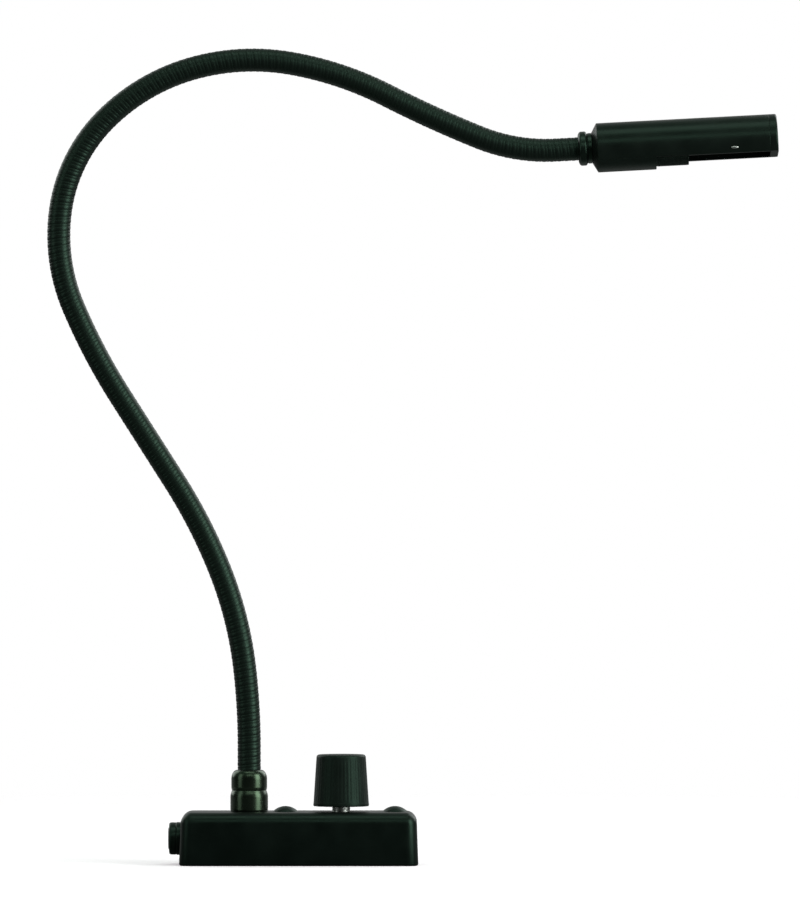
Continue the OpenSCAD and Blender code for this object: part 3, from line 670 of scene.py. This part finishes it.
def case_ring(inset, height, corner, steps=10):
    """Rectangle inside the case's box by the inset, at the height, with a quarter arc at each corner."""
    angle = (np.arange(4)[:, None] + np.linspace(0, 1, steps + 1)) * math.pi / 2
    x = np.array([[1], [-1], [-1], [1]]) * (case_high[0] - inset - corner) + corner * np.cos(angle)
    y = np.array([[1], [1], [-1], [-1]]) * (case_high[1] - inset - corner) + corner * np.sin(angle)
    return columns(x, y, height).reshape(-1, 3)


def case_shell():
    """Wall of the case as (inset, height, corner) rings: from the ceiling's middle down the inside, round the
    foot, up the leaning side and over the round top edge to the roof's middle."""
    turn = quarter_turn(13)
    fall = 1 - np.cos(turn)
    top_edge = columns(CASE_DRAFT + CASE_TOP_EDGE * fall, case_top - CASE_TOP_EDGE * (1 - np.sin(turn)),
                       CASE_CORNER - CASE_TOP_EDGE * fall)
    foot_turn = quarter_turn(5)
    tuck = CASE_FOOT * (1 - np.sin(foot_turn))
    foot = columns(tuck, CASE_FOOT * (1 - np.cos(foot_turn)), CASE_CORNER - tuck)
    inner_edge = CASE_EDGE - CASE_WALL
    inner_top = case_top - CASE_WALL
    inner = columns(CASE_WALL + CASE_DRAFT + inner_edge * fall,
                    inner_top - inner_edge + inner_edge * np.sin(turn),
                    np.maximum(inner_edge * np.cos(turn), CASE_INNER_CORNER))
    ledge = CASE_WALL - PLATE_LEDGE
    lower = [[CASE_WALL, plate_top, inner_edge], [ledge, plate_top, CASE_EDGE - ledge],
             [ledge, 0, CASE_EDGE - ledge]]
    ceiling, roof = [[case_high[1], inner_top, 0]], [[case_high[1], case_top, 0]]
    rings = np.concatenate([ceiling, inner[::-1], lower, foot, top_edge, roof])
    return Shape().grid(np.array([case_ring(*ring) for ring in rings]), False, True)


piece("case_shell", case_shell(), "case_moulding", "base", ["base_case"], sharp=30)


# Case screws: slotted domes

def screw(shape, x):
    """Dome over a plane grid of chords: the height of a sphere, or of the slot's floor between its two walls,
    closed underneath, with a turned shank."""
    rise = screw_high[2] - case_top
    ball = (SCREW_HEAD_R ** 2 + rise ** 2) / (2 * rise)
    half = SCREW_SLOT / 2
    side = SCREW_HEAD_R - (SCREW_HEAD_R - half - SLOT_LIP) * np.sin(quarter_turn(12))
    y = np.concatenate([-side, [-half, -half, half, half], side[::-1]])[:, None]
    sunk = np.zeros(y.shape)
    sunk[[len(side) + 1, len(side) + 2]] = 1
    t = np.sin(np.linspace(-math.pi / 2, math.pi / 2, 25))
    chord_x = t[None, :] * np.sqrt(np.maximum(SCREW_HEAD_R ** 2 - y ** 2, 0))
    dome = np.sqrt(np.maximum(ball ** 2 - chord_x ** 2 - y ** 2, 0)) + rise - ball
    lip_drop = np.where(np.abs(np.abs(y) - half) < 1e-6, SLOT_LIP_DROP, 0) * (1 - sunk)
    height = np.where(sunk > 0, np.minimum(dome, rise * SLOT_FLOOR_SHARE), dome - lip_drop)
    above = columns(x + chord_x, y, case_top + np.maximum(height, 0))
    under = above[:, ::-1].copy()
    under[..., 2] = case_top - SCREW_SINK
    shape.grid(np.concatenate([above, under], 1), False, True)
    foot, neck = screw_low[2], case_top - OVERLAP
    shank = rounded([[0, foot, 0], [SCREW_SHANK_R, foot, 0.3], [SCREW_SHANK_R, neck, 0], [0, neck, 0]])
    return lathe(shape, shank, place([x, 0, 0], [1, 0, 0], UP), 32)


screws = Shape()
for screw_x in (screw_low[0] + SCREW_HEAD_R, screw_high[0] - SCREW_HEAD_R):
    screw(screws, screw_x)
piece("slotted_screws", screws, "screw_blacking", "base", ["case_screws"])


# Dimmer knob: a tapered cap with fine upright ribs above a plain lip

def ribbed_knob():
    """Outline turned round the axis; on the flank the radius dips between ribs, by the square of half of one
    less the cosine of ribs times angle, fading out at both ends."""
    foot_r, base, top = knob_high[0] - knob_x, knob_low[2], knob_high[2]
    wall_r, lip_top = foot_r - KNOB_LIP_STEP, base + KNOB_LIP
    bore_top, recess_top = base + KNOB_BORE_DEPTH, base + KNOB_RECESS_DEPTH
    outline = rounded([
        [0, bore_top, 0], [KNOB_BORE_R, bore_top, 0.2], [KNOB_BORE_R, recess_top, 0],
        [KNOB_RECESS_R, recess_top, 0.1], [KNOB_RECESS_R, base, 0.3], [foot_r, base, 0.45],
        [foot_r, lip_top, 0.25], [wall_r, lip_top, 0.05], [KNOB_TOP_R, top, KNOB_EDGE],
        [KNOB_TOP_R - 2.4, top, 0.8], [0, top - KNOB_DISH, 0],
    ], 8)
    outline[:, 0] = np.maximum(outline[:, 0], 0)
    flank = np.linspace(lip_top + 0.3, top - KNOB_EDGE - 0.6, 16)
    wall = columns(np.interp(flank, [lip_top, top], [wall_r, KNOB_TOP_R]), flank)
    above = np.flatnonzero((outline[:, 1] > flank[-1]) & (outline[:, 0] > KNOB_TOP_R - 1.5))[0]
    outline = np.concatenate([outline[:above], wall, outline[above:]])
    angle = full_turn(8 * KNOB_RIBS)
    height = outline[:, 1:]
    fade = np.clip((height - lip_top - 0.1) / 0.8, 0, 1) * np.clip((top - 1.0 - height) / 1.4, 0, 1)
    fade *= outline[:, :1] > KNOB_TOP_R - 1
    dip = RIB_DEPTH * fade * (0.5 - 0.5 * np.cos(KNOB_RIBS * angle)) ** 2
    return Shape().grid(set_in(knob_place, outline[:, :1] - dip, angle, height), False, True)


piece("ribbed_knob", ribbed_knob(), "knob_moulding", "dimmer", ["dimmer_knob"], sharp=50)


# Bright bushing under the knob, with its thread

def thread(phase):
    """Shallow thread: the radius falls from crest to root and back over one turn."""
    wave = np.abs((phase % 1) - 0.5) * 2
    return THREAD_ROOT_R + THREAD_DEPTH * np.clip(wave * 1.3 - 0.1, 0, 1), wave


def up_bushing(s):
    """Path straight up the bushing: centre and across-direction at the height s."""
    centre = columns(knob_x, 0.0, s)
    return centre, np.broadcast_to([1.0, 0.0, 0.0], centre.shape)


threaded = wound_tube(Shape(), up_bushing, bushing_low[2], bushing_high[2], THREAD_RISE, thread,
                      BUSHING_BORE_R, 6, 40)
piece("threaded_bushing", threaded, "bushing_plating", "base", ["dimmer_bushing"], sharp=25)


# Two gloss tiers at the foot of the neck

def lower_tier():
    """Turned bushing: a tail under the case top, a tier with a round shoulder, and the ferrule's socket."""
    tail = node_box("neck_bushing")[0][2]
    floor = tier_top - TIER_SOCKET_DEPTH
    return rounded([
        [NECK_BORE_R, tail, 0.2], [TAIL_R, tail, 0.4], [TAIL_R, case_top, 0], [TIER_R - 0.25, case_top, 0.2],
        [TIER_R, case_top + 0.6, 0.4], [TIER_R, tier_top - TIER_SHOULDER, 1.4],
        [TIER_WAIST_R, tier_top, 0.15], [TIER_SOCKET_R, tier_top, 0.2],
        [TIER_SOCKET_R, floor, 0.1], [NECK_BORE_R, floor, 0.1],
    ], 10)


def upper_tier():
    """Turned ferrule: spigot, a waist, a plain wall, and an elliptic shoulder that closes on the neck."""
    foot, seat = tier_top - SPIGOT_LENGTH, ferrule_top - NECK_SEAT
    shoulder_foot, rim = ferrule_top - FERRULE_SHOULDER, NECK_R + 0.15
    turn = quarter_turn(15)
    shoulder = columns(rim + (FERRULE_R - rim) * np.cos(turn),
                       shoulder_foot + FERRULE_SHOULDER * np.sin(turn))
    wall = rounded([
        [NECK_BORE_R, foot, 0.1], [TAIL_R, foot, 0.3], [TAIL_R, tier_top, 0], [TIER_WAIST_R, tier_top, 0.1],
        [FERRULE_R, tier_top + 0.9, 0.7], [FERRULE_R, shoulder_foot - 0.3, 0],
    ], 10)
    mouth = [[NECK_R, ferrule_top - 0.1], [NECK_R, seat], [NECK_BORE_R, seat]]
    return np.concatenate([wall, shoulder, mouth])


for name, outline, solid in (("neck_lower_tier", lower_tier(), "neck_bushing"),
                             ("neck_upper_tier", upper_tier(), "neck_ferrule")):
    turned = lathe(Shape(), outline, neck_place, 96)
    piece(name, turned, "ferrule_lacquer", "base", [solid])


# Power jack on the left end

def jack_ring():
    """Turned nut: flat against the case, one fine groove, and a rounded outer edge."""
    r, high = (jack_high[2] - jack_low[2]) / 2, jack_high[0] - jack_low[0]
    return rounded([
        [JACK_HOLE_R, 0, 0.1], [r, 0, 0.2], [r, 1.5, 0.1], [r - 0.25, 1.7, 0.1], [r - 0.1, 1.95, 0.1],
        [r - 0.1, high, 1.7], [JACK_HOLE_R, high, 0.4],
    ], 8)


def jack_barrel():
    """Turned barrel of the socket: flange inside the case, bore open to the left, closed behind the pin."""
    end = jack_high[0] - node_box("jack_body")[0][0]
    floor, pin_end = JACK_REAR + 4, JACK_REAR + 1
    inner, outer = JACK_FLANGE
    return rounded([
        [JACK_R, end, 0.3], [JACK_BORE_R, end, 0.5], [JACK_BORE_R, floor, 0.1], [JACK_PIN_HOLE_R, floor, 0.1],
        [JACK_PIN_HOLE_R, pin_end, 0], [0, pin_end, 0], [0, JACK_REAR, 0], [JACK_REAR_R, JACK_REAR, 0.4],
        [JACK_REAR_R, inner, 0], [JACK_FLANGE_R, inner, 0.2], [JACK_FLANGE_R, outer, 0.2], [JACK_R, outer, 0],
    ])


nut = lathe(Shape(), jack_ring(), jack_place)
barrel = lathe(Shape(), jack_barrel(), jack_place)
piece("jack_ring", nut, "jack_moulding", "base", ["jack_nut"])
piece("jack_barrel", barrel, "part_moulding", "base", ["jack_body"])


# Supply wires from the jack to the board

def smooth_line(points, steps=8):
    """Curve through the points: a cubic between each pair, whose slope at a point is half the step between
    the points beside it."""
    points = np.array(points, float)
    slope = np.gradient(points, axis=0)
    t = np.linspace(0, 1, steps, endpoint=False)[None, :, None]
    a, b, u, v = points[:-1, None], points[1:, None], slope[:-1, None], slope[1:, None]
    curve = ((2 * t ** 3 - 3 * t ** 2 + 1) * a + (t ** 3 - 2 * t ** 2 + t) * u + (3 * t ** 2 - 2 * t ** 3) * b
             + (t ** 3 - t ** 2) * v)
    return np.concatenate([curve.reshape(-1, 3), points[-1:]])


def unit(vectors):
    """Vectors brought to a length of one."""
    return vectors / np.linalg.norm(vectors, axis=1)[:, None]


def wire_pair():
    """Two round wires, mirrored: out of the jack's tabs, past the neck's tail and down to the board."""
    board_top = node_box("circuit_board")[1][2]
    far = node_box("supply_wires")[1] - WIRE_R
    tab_x, pad_x, far_y = node_box("jack_tabs")[1][0], far[0], far[1]
    lift = jack_z - board_top
    route = [
        [tab_x, WIRE_TAB_Y, jack_z], [tab_x + 2, WIRE_TAB_Y, jack_z],
        [neck_x - 4, far_y - 1, board_top + 0.8 * lift], [neck_x + 2, far_y, board_top + 0.7 * lift],
        [pad_x - 1.6, far_y, board_top + 0.6 * lift], [pad_x - 0.5, far_y, board_top + 0.45 * lift],
        [pad_x, far_y, board_top + 0.2 * lift], [pad_x, far_y, board_top],
    ]
    shape = Shape()
    for mirrored in (1, -1):
        line = smooth_line(np.array(route) * [1, mirrored, 1])
        ahead = unit(np.gradient(line, axis=0))
        across = unit(SIDE - ahead[:, 1:2] * ahead)
        tube(shape, line, across, np.cross(ahead, across), WIRE_R)
    return shape


piece("wire_pair", wire_pair(), "wire_rubber", "base", ["supply_wires"])


# Neck: round and wedge wire wound together, in one piece about each hinge

hinges = range(1, len(NECK_BENDS))


def wound_wires(phase):
    """Two wires in each turn, a broad one and a lower, narrower wedge wire; the radius of both falls as a
    power of the distance from the wire's middle."""
    p = phase % 1
    half, wedge_half = BROAD_WIRE / 2, (1 - BROAD_WIRE) / 2
    bulge, wedge = (p - half) / half, (p - BROAD_WIRE - wedge_half) / wedge_half
    r = np.where(p < BROAD_WIRE, NECK_R - BROAD_DEEP * np.abs(bulge) ** WIRE_POWER,
                 NECK_R - WEDGE_SUNK - WEDGE_DEEP * np.abs(wedge) ** WIRE_POWER)
    return r, np.clip(1 - (NECK_R - r) / BROAD_DEEP, 0, 1)


def neck_span(hinge):
    """Start and end of the piece that bends at a hinge: half a section each way, or to the neck's own end."""
    start = -NECK_SEAT if hinge == hinges[0] else (hinge - 0.5) * section
    end = NECK_LENGTH + TIP_SEAT if hinge == hinges[-1] else (hinge + 0.5) * section
    return start, end


def bend_at(obj, hinge):
    """Bakes a piece's placement into its mesh; the ends of its bend about the hinge, half a section each way
    less a margin, are worked out but not used.
    """
    start = along_neck((hinge - 0.5) * section + BEND_MARGIN)[0] * MM
    end = along_neck((hinge + 0.5) * section - BEND_MARGIN)[0] * MM
    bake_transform(obj)


def lead_line(hinge):
    """Centre line of the lamp lead about a hinge: along the neck, and at its foot round to the board."""
    start, end = neck_span(hinge)
    start = LEAD_START if hinge == hinges[0] else start
    end = NECK_LENGTH + LEAD_TAIL if hinge == hinges[-1] else end
    centre, across = along_neck(np.linspace(start, end, max(4, int((end - start) / LEAD_STEP))))
    if hinge != hinges[0]:
        return centre, across
    board_mid = middle_of("circuit_board")[2]
    turn = quarter_turn(9)[:-1]
    curve = columns(neck_x + LEAD_BEND_R * (1 - np.sin(turn)), 0.0,
                    board_mid + LEAD_BEND_R * (1 - np.cos(turn)))
    outward = columns(np.sin(turn), 0.0, np.cos(turn))
    return np.concatenate([curve, centre]), np.concatenate([outward, across])


for hinge in hinges:
    sections = [hinge, hinge + 1] if hinge == hinges[-1] else [hinge]
    wires = wound_tube(Shape(), along_neck, *neck_span(hinge), pitch, wound_wires, NECK_BORE_R)
    coil = piece(f"neck_coil_{hinge}", wires, "neck_lacquer",
                 stands_for=[f"neck_section_{k}" for k in sections], sharp=60)
    bend_at(coil, hinge)
    centre, across = lead_line(hinge)
    cable = tube(Shape(), centre, across, np.broadcast_to(SIDE, centre.shape), LEAD_R)
    lead = piece(f"neck_lead_{hinge}", cable, "lead_rubber",
                 stands_for=[f"lamp_lead_{k}" for k in sections])
    bend_at(lead, hinge)


# Bead at the neck's tip, on whose journal the hood swivels

def tip_bead():
    """Turned ferrule: a round bead on the neck, a waist, a collar, and the journal with the clip's groove."""
    groove_start, groove_end = CLIP_GROOVE
    return rounded([
        [NECK_R, 0, 0.2], [BEAD_R - 1.3, 0.05, 0.3], [BEAD_R, 0.7, 0.9], [BEAD_R, BEAD_END, 0.9],
        [WAIST_R, WAIST_STATION, 0.2], [COLLAR_R, COLLAR_START, 0.2], [COLLAR_R, COLLAR_END, 0.05],
        [JOURNAL_R, COLLAR_END, 0.05], [JOURNAL_R, groove_start, 0.05], [CLIP_R, groove_start, 0.05],
        [CLIP_R, groove_end, 0.05], [JOURNAL_R, groove_end, 0.05], [JOURNAL_R, JOURNAL_END, 0.3],
        [NECK_BORE_R, JOURNAL_END, 0.2], [NECK_BORE_R, BEAD_SEAT, 0.05], [NECK_R, BEAD_SEAT, 0.05],
    ], 8)


bead = lathe(Shape(), tip_bead(), hood, 96)
piece("tip_bead", bead, "bead_lacquer", "neck_12", ["hood_ferrule"])


# Hood: closed rear housing, cut shell, end cap, stop pin

def rear_housing():
    """Turned rear of the hood as (station, radius below the cut, radius above it): a cone, then a body that
    stands out to the hood's radius below the cut and fits into the shell above it."""
    low_angle = math.acos((HOOD_CUT + 0.1) / HOOD_R)
    lower = np.linspace(-low_angle, low_angle, 33)
    upper = np.linspace(low_angle, TURN - low_angle, 65)
    angle = np.concatenate([lower, upper])
    inner, spigot_end = SHELL_BORE_R - 0.1, RING_START + HOUSING_SPIGOT
    stations = np.array([
        [CONE_START, JOURNAL_BORE_R, JOURNAL_BORE_R], [CONE_START, COLLAR_R, COLLAR_R],
        [BODY_START, HOOD_R, HOOD_R], [BODY_START, HOOD_R, inner],
        [HOUSING_END, HOOD_R, inner], [HOUSING_END, SPIGOT_R, SPIGOT_R],
        [spigot_end, SPIGOT_R, SPIGOT_R], [spigot_end, SOCKET_BORE_R, SOCKET_BORE_R],
        [SOCKET_START, SOCKET_BORE_R, SOCKET_BORE_R], [SOCKET_START, JOURNAL_BORE_R, JOURNAL_BORE_R],
    ])
    r = np.where(np.arange(len(angle)) < len(lower), stations[:, 1:2], stations[:, 2:3])
    return Shape().grid(set_in(hood, r, angle, stations[:, :1]), True, True)


def cut_shell():
    """Wall of the hood, turned between the two edges of its flat cut, with stations between its ends."""
    wall = rounded([[HOOD_R, BODY_START, 0.12], [HOOD_R, CAP_START, 0.12], [SHELL_BORE_R, CAP_START, 0.1],
                    [SHELL_BORE_R, BODY_START, 0.1]], 3)
    first, ends, last = np.split(wall, [len(wall) // 4, 3 * len(wall) // 4])
    stations = np.linspace(BODY_START + 2, CAP_START - 2, 12)
    outer, inside = columns(HOOD_R, stations), columns(SHELL_BORE_R, stations[::-1])
    wall = np.concatenate([first, outer, ends, inside, last])
    low = chord_angle(wall[:, :1], HOOD_CUT)
    return cut_lathe(Shape(), wall, hood, low, TURN - low, 121)


def end_cap():
    """Turned cap cut flat like the shell, and its spigot inside the sleeve, cut higher."""
    start, end = CAP_START - CAP_SPIGOT, CAP_START + 0.5
    spigot = np.array([[0, start], [SPIGOT_R - 0.2, start], [SPIGOT_R, start + 0.2], [SPIGOT_R, end],
                       [0, end]])
    disc = rounded([[0, CAP_START, 0], [HOOD_R, CAP_START, 0.15], [HOOD_R, HOOD_END, 0.9], [0, HOOD_END, 0]])
    steps = len(disc) // 4
    shape = flat_cut_lathe(Shape(), spigot, hood, SPIGOT_CUT)
    return flat_cut_lathe(shape, disc[steps - 1:-steps + 1], hood, HOOD_CUT)


def stop_rivet():
    """Rivet square to the hood's axis: a turned shank, and a low domed head drawn out to an oval along the
    hood."""
    angle = math.radians(STOP_ANGLE)
    origin, across, aside, along = hood
    outward = math.cos(angle) * across + math.sin(angle) * aside
    where = place(origin + STOP_STATION * along, along, outward)
    under = HOOD_R - 0.1
    outline = rounded([
        [0, RIVET_START, 0], [RIVET_R, RIVET_START, 0.1], [RIVET_R, under, 0], [RIVET_HEAD_R, under, 0],
        [RIVET_HEAD_R, HOOD_R + 0.1, 0.1], [0.7, HOOD_R + 0.4, 0.4], [0, HOOD_R + 0.5, 0],
    ])
    turn = full_turn(48)
    oval = 1 / np.hypot(np.cos(turn) / RIVET_OVAL[0], np.sin(turn) / RIVET_OVAL[1])
    head = np.clip((outline[:, :1] - RIVET_R) / 0.2, 0, 1) + (outline[:, 1:] > HOOD_R)
    r = outline[:, :1] * (1 + np.clip(head, 0, 1) * (oval - 1))
    return Shape().grid(set_in(where, r, turn, outline[:, 1:]), False, True)


piece("rear_housing", rear_housing(), "hood_satin", "hood", ["socket_housing"], bevel=0.18)
piece("cut_shell", cut_shell(), "hood_satin", "hood", ["hood_shell"], sharp=40)
piece("end_cap", end_cap(), "hood_satin", "hood", ["hood_end_cap"], sharp=40)
piece("stop_rivet", stop_rivet(), "bushing_plating", "hood", ["stop_pin"])


# Shutter: a diamond-knurled ring and the open sleeve that turns inside the shell

def knurled_ring():
    """Ring whose outside is cut by two crossing families of grooves, deepest where a sine of the angle and
    the station is nought, fading at both edges."""
    z = np.linspace(RING_START, WINDOW_START, 61)[:, None]
    angle = full_turn(8 * KNURL_TEETH)
    lean = KNURL_TEETH / KNURL_R
    wave_a = np.abs(np.sin((KNURL_TEETH * angle + lean * z) / 2))
    wave_b = np.abs(np.sin((KNURL_TEETH * angle - lean * z) / 2))
    inside_edge = np.clip(np.minimum(z - RING_START, WINDOW_START - z) / KNURL_EDGE, 0, 1)
    groove = KNURL_DEPTH * (1 - np.minimum(wave_a, wave_b) ** 0.7)
    depth = groove * inside_edge + KNURL_EDGE_DROP * (1 - inside_edge)
    outside = set_in(hood, KNURL_R - depth, angle, z)
    bore = set_in(hood, SLEEVE_BORE_R, angle, np.array([[WINDOW_START], [RING_START]]))
    return Shape().grid(np.concatenate([outside, bore]), True, True)


def shutter_sleeve():
    """Part-turn sleeve beyond the ring, with rounded edges."""
    start, end = WINDOW_START - OVERLAP, CAP_START - SLEEVE_GAP
    wall = rounded([[SLEEVE_R, start, 0], [SLEEVE_R, end, 0.15], [SLEEVE_BORE_R, end, 0.15],
                    [SLEEVE_BORE_R, start, 0]], 3)
    low, far = math.radians(SHUTTER_OPEN[1]), TURN + math.radians(SHUTTER_OPEN[0])
    return cut_lathe(Shape(), wall, hood, low, far, 97)


piece("knurled_ring", knurled_ring(), "shutter_satin", "shutter", ["shutter"], sharp=60)
piece("shutter_sleeve", shutter_sleeve(), "shutter_satin", "shutter", ["shutter"], sharp=40)


# Bulb

def glass_envelope():
    """Turned glass: a straight wall that closes in a dome, the same inside, one wall thickness smaller."""
    turn = quarter_turn(17)
    dome = GLASS_START + GLASS_LENGTH - GLASS_R
    inner = GLASS_R - GLASS_WALL
    outer_line = columns(GLASS_R * np.cos(turn), dome + GLASS_R * np.sin(turn))
    inner_line = columns(inner * np.cos(turn[::-1]), dome + inner * np.sin(turn[::-1]))
    outline = np.concatenate([[[inner, GLASS_START], [GLASS_R, GLASS_START]], outer_line, inner_line])
    return lathe(Shape(), outline, hood, 64)


def wound_filament():
    """Helix of fine wire across the bulb on two upright supports."""
    wire_r, post_r, coil_r, turns, half_span = 0.09, 0.2, 0.5, 16, 1.6
    origin, across, aside, along = hood
    rise = GLASS_START + GLASS_LENGTH / 2
    t = np.linspace(0, 1, turns * 14)
    angle = t * turns * TURN
    outward = np.cos(angle)[:, None] * across + np.sin(angle)[:, None] * along
    helix = origin + rise * along + (2 * t - 1)[:, None] * half_span * aside + coil_r * outward
    shape = tube(Shape(), helix, outward, np.broadcast_to(aside, helix.shape), wire_r, 6)
    for end in (-1, 1):
        post = origin + end * half_span * aside + np.linspace(GLASS_START, rise, 4)[:, None] * along
        tube(shape, post, np.broadcast_to(across, post.shape), np.broadcast_to(aside, post.shape), post_r, 12)
    return shape


def bulb_foot():
    """Turned ceramic foot with two pins."""
    r, start = GLASS_R + BULB_FOOT_RIM, GLASS_START - BULB_FOOT
    foot = rounded([[0, start, 0], [r, start, 0.5], [r, GLASS_START, 0.4], [0, GLASS_START, 0]])
    low, high = start - BULB_PIN_LENGTH, start + OVERLAP
    pin = rounded([[0, low, 0], [BULB_PIN_R, low, 0.2], [BULB_PIN_R, high, 0], [0, high, 0]])
    shape = lathe(Shape(), foot, hood, 64)
    origin, across, aside, along = hood
    for end in (-1, 1):
        lathe(shape, pin, place(origin + end * BULB_PIN_SIDE * aside, across, along), 16)
    return shape


piece("glass_envelope", glass_envelope(), "bulb_glass_clear", "hood", ["bulb_glass"])
piece("wound_filament", wound_filament(), "filament_tungsten", "hood", ["filament"])
piece("bulb_foot", bulb_foot(), "socket_ceramic", "hood", ["bulb_base"])


# Solids that stay as they are, with their finishes

KEPT_SOLIDS = {
    "base_plate": "plate_paint",
    "board_spacers": "bright_metal",
    "circuit_board": "board_lacquer",
    "power_transistor": "part_moulding",
    "filter_capacitor": "capacitor_sleeve",
    "dimmer_body": "dimmer_moulding",
    "dimmer_shaft": "bright_metal",
    "neck_washer": "bright_metal",
    "neck_nut": "bright_metal",
    "jack_pin": "contact_brass",
    "jack_tabs": "contact_brass",
    "swivel_clip": "bright_metal",
    "lamp_socket": "socket_ceramic",
    "socket_contacts": "contact_brass",
}
for node, finish in KEPT_SOLIDS.items():
    frame["nodes"][node].data.materials.clear()
    frame["nodes"][node].data.materials.append(finishes[finish])


# Studio: a pale floor that fades out, a bright backdrop in the world, and soft lamps

# Floor's radius and depth in millimetres, and the distances in metres between which it fades
FLOOR_R = 900
FLOOR_DEPTH = 0.05
FLOOR_FADE = (0.25, 0.75)
# Point that the lamps look at, in metres
LAMP_AIM = np.array([0.03, 0.0, 0.16])


def joined(tree, operation, one, other):
    """One number from two, by a plain product or the larger of them."""
    return added(tree, "Math", "Value", {0: one, 1: other}, operation)


def mixed(tree, factor, one, other):
    """Shader that goes from one to the other with the factor."""
    return added(tree, "MixShader", "Shader", {"Fac": factor, 1: one, 2: other})


def axis_of(tree, vector, axis):
    """The vector's part along one axis."""
    return added(tree, "SeparateXYZ", axis, {"Vector": vector})


def seen_share(tree, facing):
    """How far a ray sees the pale side: wholly from the camera and through glass, in a shine as far as facing
    says."""
    path = tree.nodes.new("ShaderNodeLightPath").outputs
    direct = joined(tree, "MAXIMUM", path["Is Camera Ray"], path["Is Transmission Ray"])
    return joined(tree, "MAXIMUM", direct, joined(tree, "MULTIPLY", path["Is Glossy Ray"], facing))


def floor_finish():
    """Pale paint with a faint glow to the camera, dim paint to the object but for some of the pale behind it
    in a shine, and clear further out."""
    tree, shader = tree_of("studio_floor")
    tree.nodes.remove(shader)
    spot = added(tree, "TexCoord", "Object")
    paint = added(tree, "BsdfDiffuse", "BSDF", {"Color": (0.9, 0.9, 0.9, 1)})
    glow = added(tree, "Emission", "Emission", {"Color": (1.0, 0.9, 0.96, 1), "Strength": 0.37})
    pale = added(tree, "AddShader", "Shader", {0: paint, 1: glow})
    dim = added(tree, "BsdfDiffuse", "BSDF", {"Color": (0.12, 0.12, 0.12, 1)})
    table = between(tree, axis_of(tree, spot, "Y"), 0.0, 0.3, -0.02, 0.1)
    lit = mixed(tree, seen_share(tree, table), dim, pale)
    reach = added(tree, "VectorMath", "Value", {0: spot}, operation="LENGTH")
    clear = added(tree, "BsdfTransparent", "BSDF")
    whole = mixed(tree, between(tree, reach, 0.0, 1.0, *FLOOR_FADE), lit, clear)
    feed(tree, tree.nodes["Material Output"], {"Surface": whole})


def soft_floor():
    """Disc just under the ground: rings of points from its middle to its radius."""
    angle = full_turn(64)
    radius = np.linspace(0, FLOOR_R, 10)[:, None]
    disc = columns(radius * np.cos(angle), radius * np.sin(angle), -FLOOR_DEPTH)
    floor = bpy.data.objects.new("floor", Shape().grid(disc, False, True).mesh("floor", 30))
    floor_finish()
    floor.data.materials.append(finishes["studio_floor"])
    scene.collection.objects.link(floor)


def studio_world():
    """White to the camera, through glass, and to a shine that faces the backdrop; else a dim room with a pale
    ceiling."""
    world = bpy.data.worlds.new("studio")
    scene.world = world
    world.use_nodes = True
    tree = world.node_tree
    spot = added(tree, "TexCoord", "Generated")
    height = axis_of(tree, spot, "Z")
    behind = between(tree, axis_of(tree, spot, "Y"), 0.0, 0.5, 0.2, 1.0)
    level = between(tree, height, 0.1, 1.0, -0.15, 0.1)
    seen = seen_share(tree, joined(tree, "MULTIPLY", behind, level))
    room = tree.nodes["Background"]
    ceiling = between(tree, height, 0.02, 0.25, 0.2, 0.95)
    feed(tree, room, {"Color": (0.66, 1.0, 0.8, 1), "Strength": ceiling})
    backdrop = added(tree, "Background", "Background", {"Color": (1, 1, 1, 1)})
    whole = mixed(tree, seen, room.outputs["Background"], backdrop)
    feed(tree, tree.nodes["World Output"], {"Surface": whole})


def softbox(name, azimuth, elevation, distance, width, height, power):
    """Area light that looks at the object's middle, from an azimuth to the right of the camera and an
    elevation."""
    a, e = math.radians(azimuth), math.radians(elevation)
    away = np.array([math.sin(a) * math.cos(e), -math.cos(a) * math.cos(e), math.sin(e)])
    lamp = bpy.data.lights.new(name, "AREA")
    lamp.shape = "RECTANGLE"
    lamp.size, lamp.size_y = width, height
    lamp.energy = power
    obj = bpy.data.objects.new(name, lamp)
    obj.location = LAMP_AIM + distance * away
    obj.rotation_euler = Vector(away).to_track_quat("Z", "Y").to_euler()
    scene.collection.objects.link(obj)


soft_floor()
studio_world()

# Soft lamps: azimuth and elevation in degrees, distance, width and height in metres, power in watts
softbox("right_softbox", 58, 12, 1.3, 0.7, 1.1, 18)
softbox("left_softbox", -62, 12, 1.3, 0.5, 1.1, 2.8)
softbox("front_top_softbox", 4, 32, 1.6, 1.2, 0.3, 2.4)
softbox("top_softbox", 4, 75, 1.5, 1.2, 0.6, 4.4)
softbox("rear_right_softbox", 138, 28, 1.4, 0.9, 1.1, 7)
softbox("rear_left_softbox", -132, 24, 1.4, 0.9, 1.1, 5)
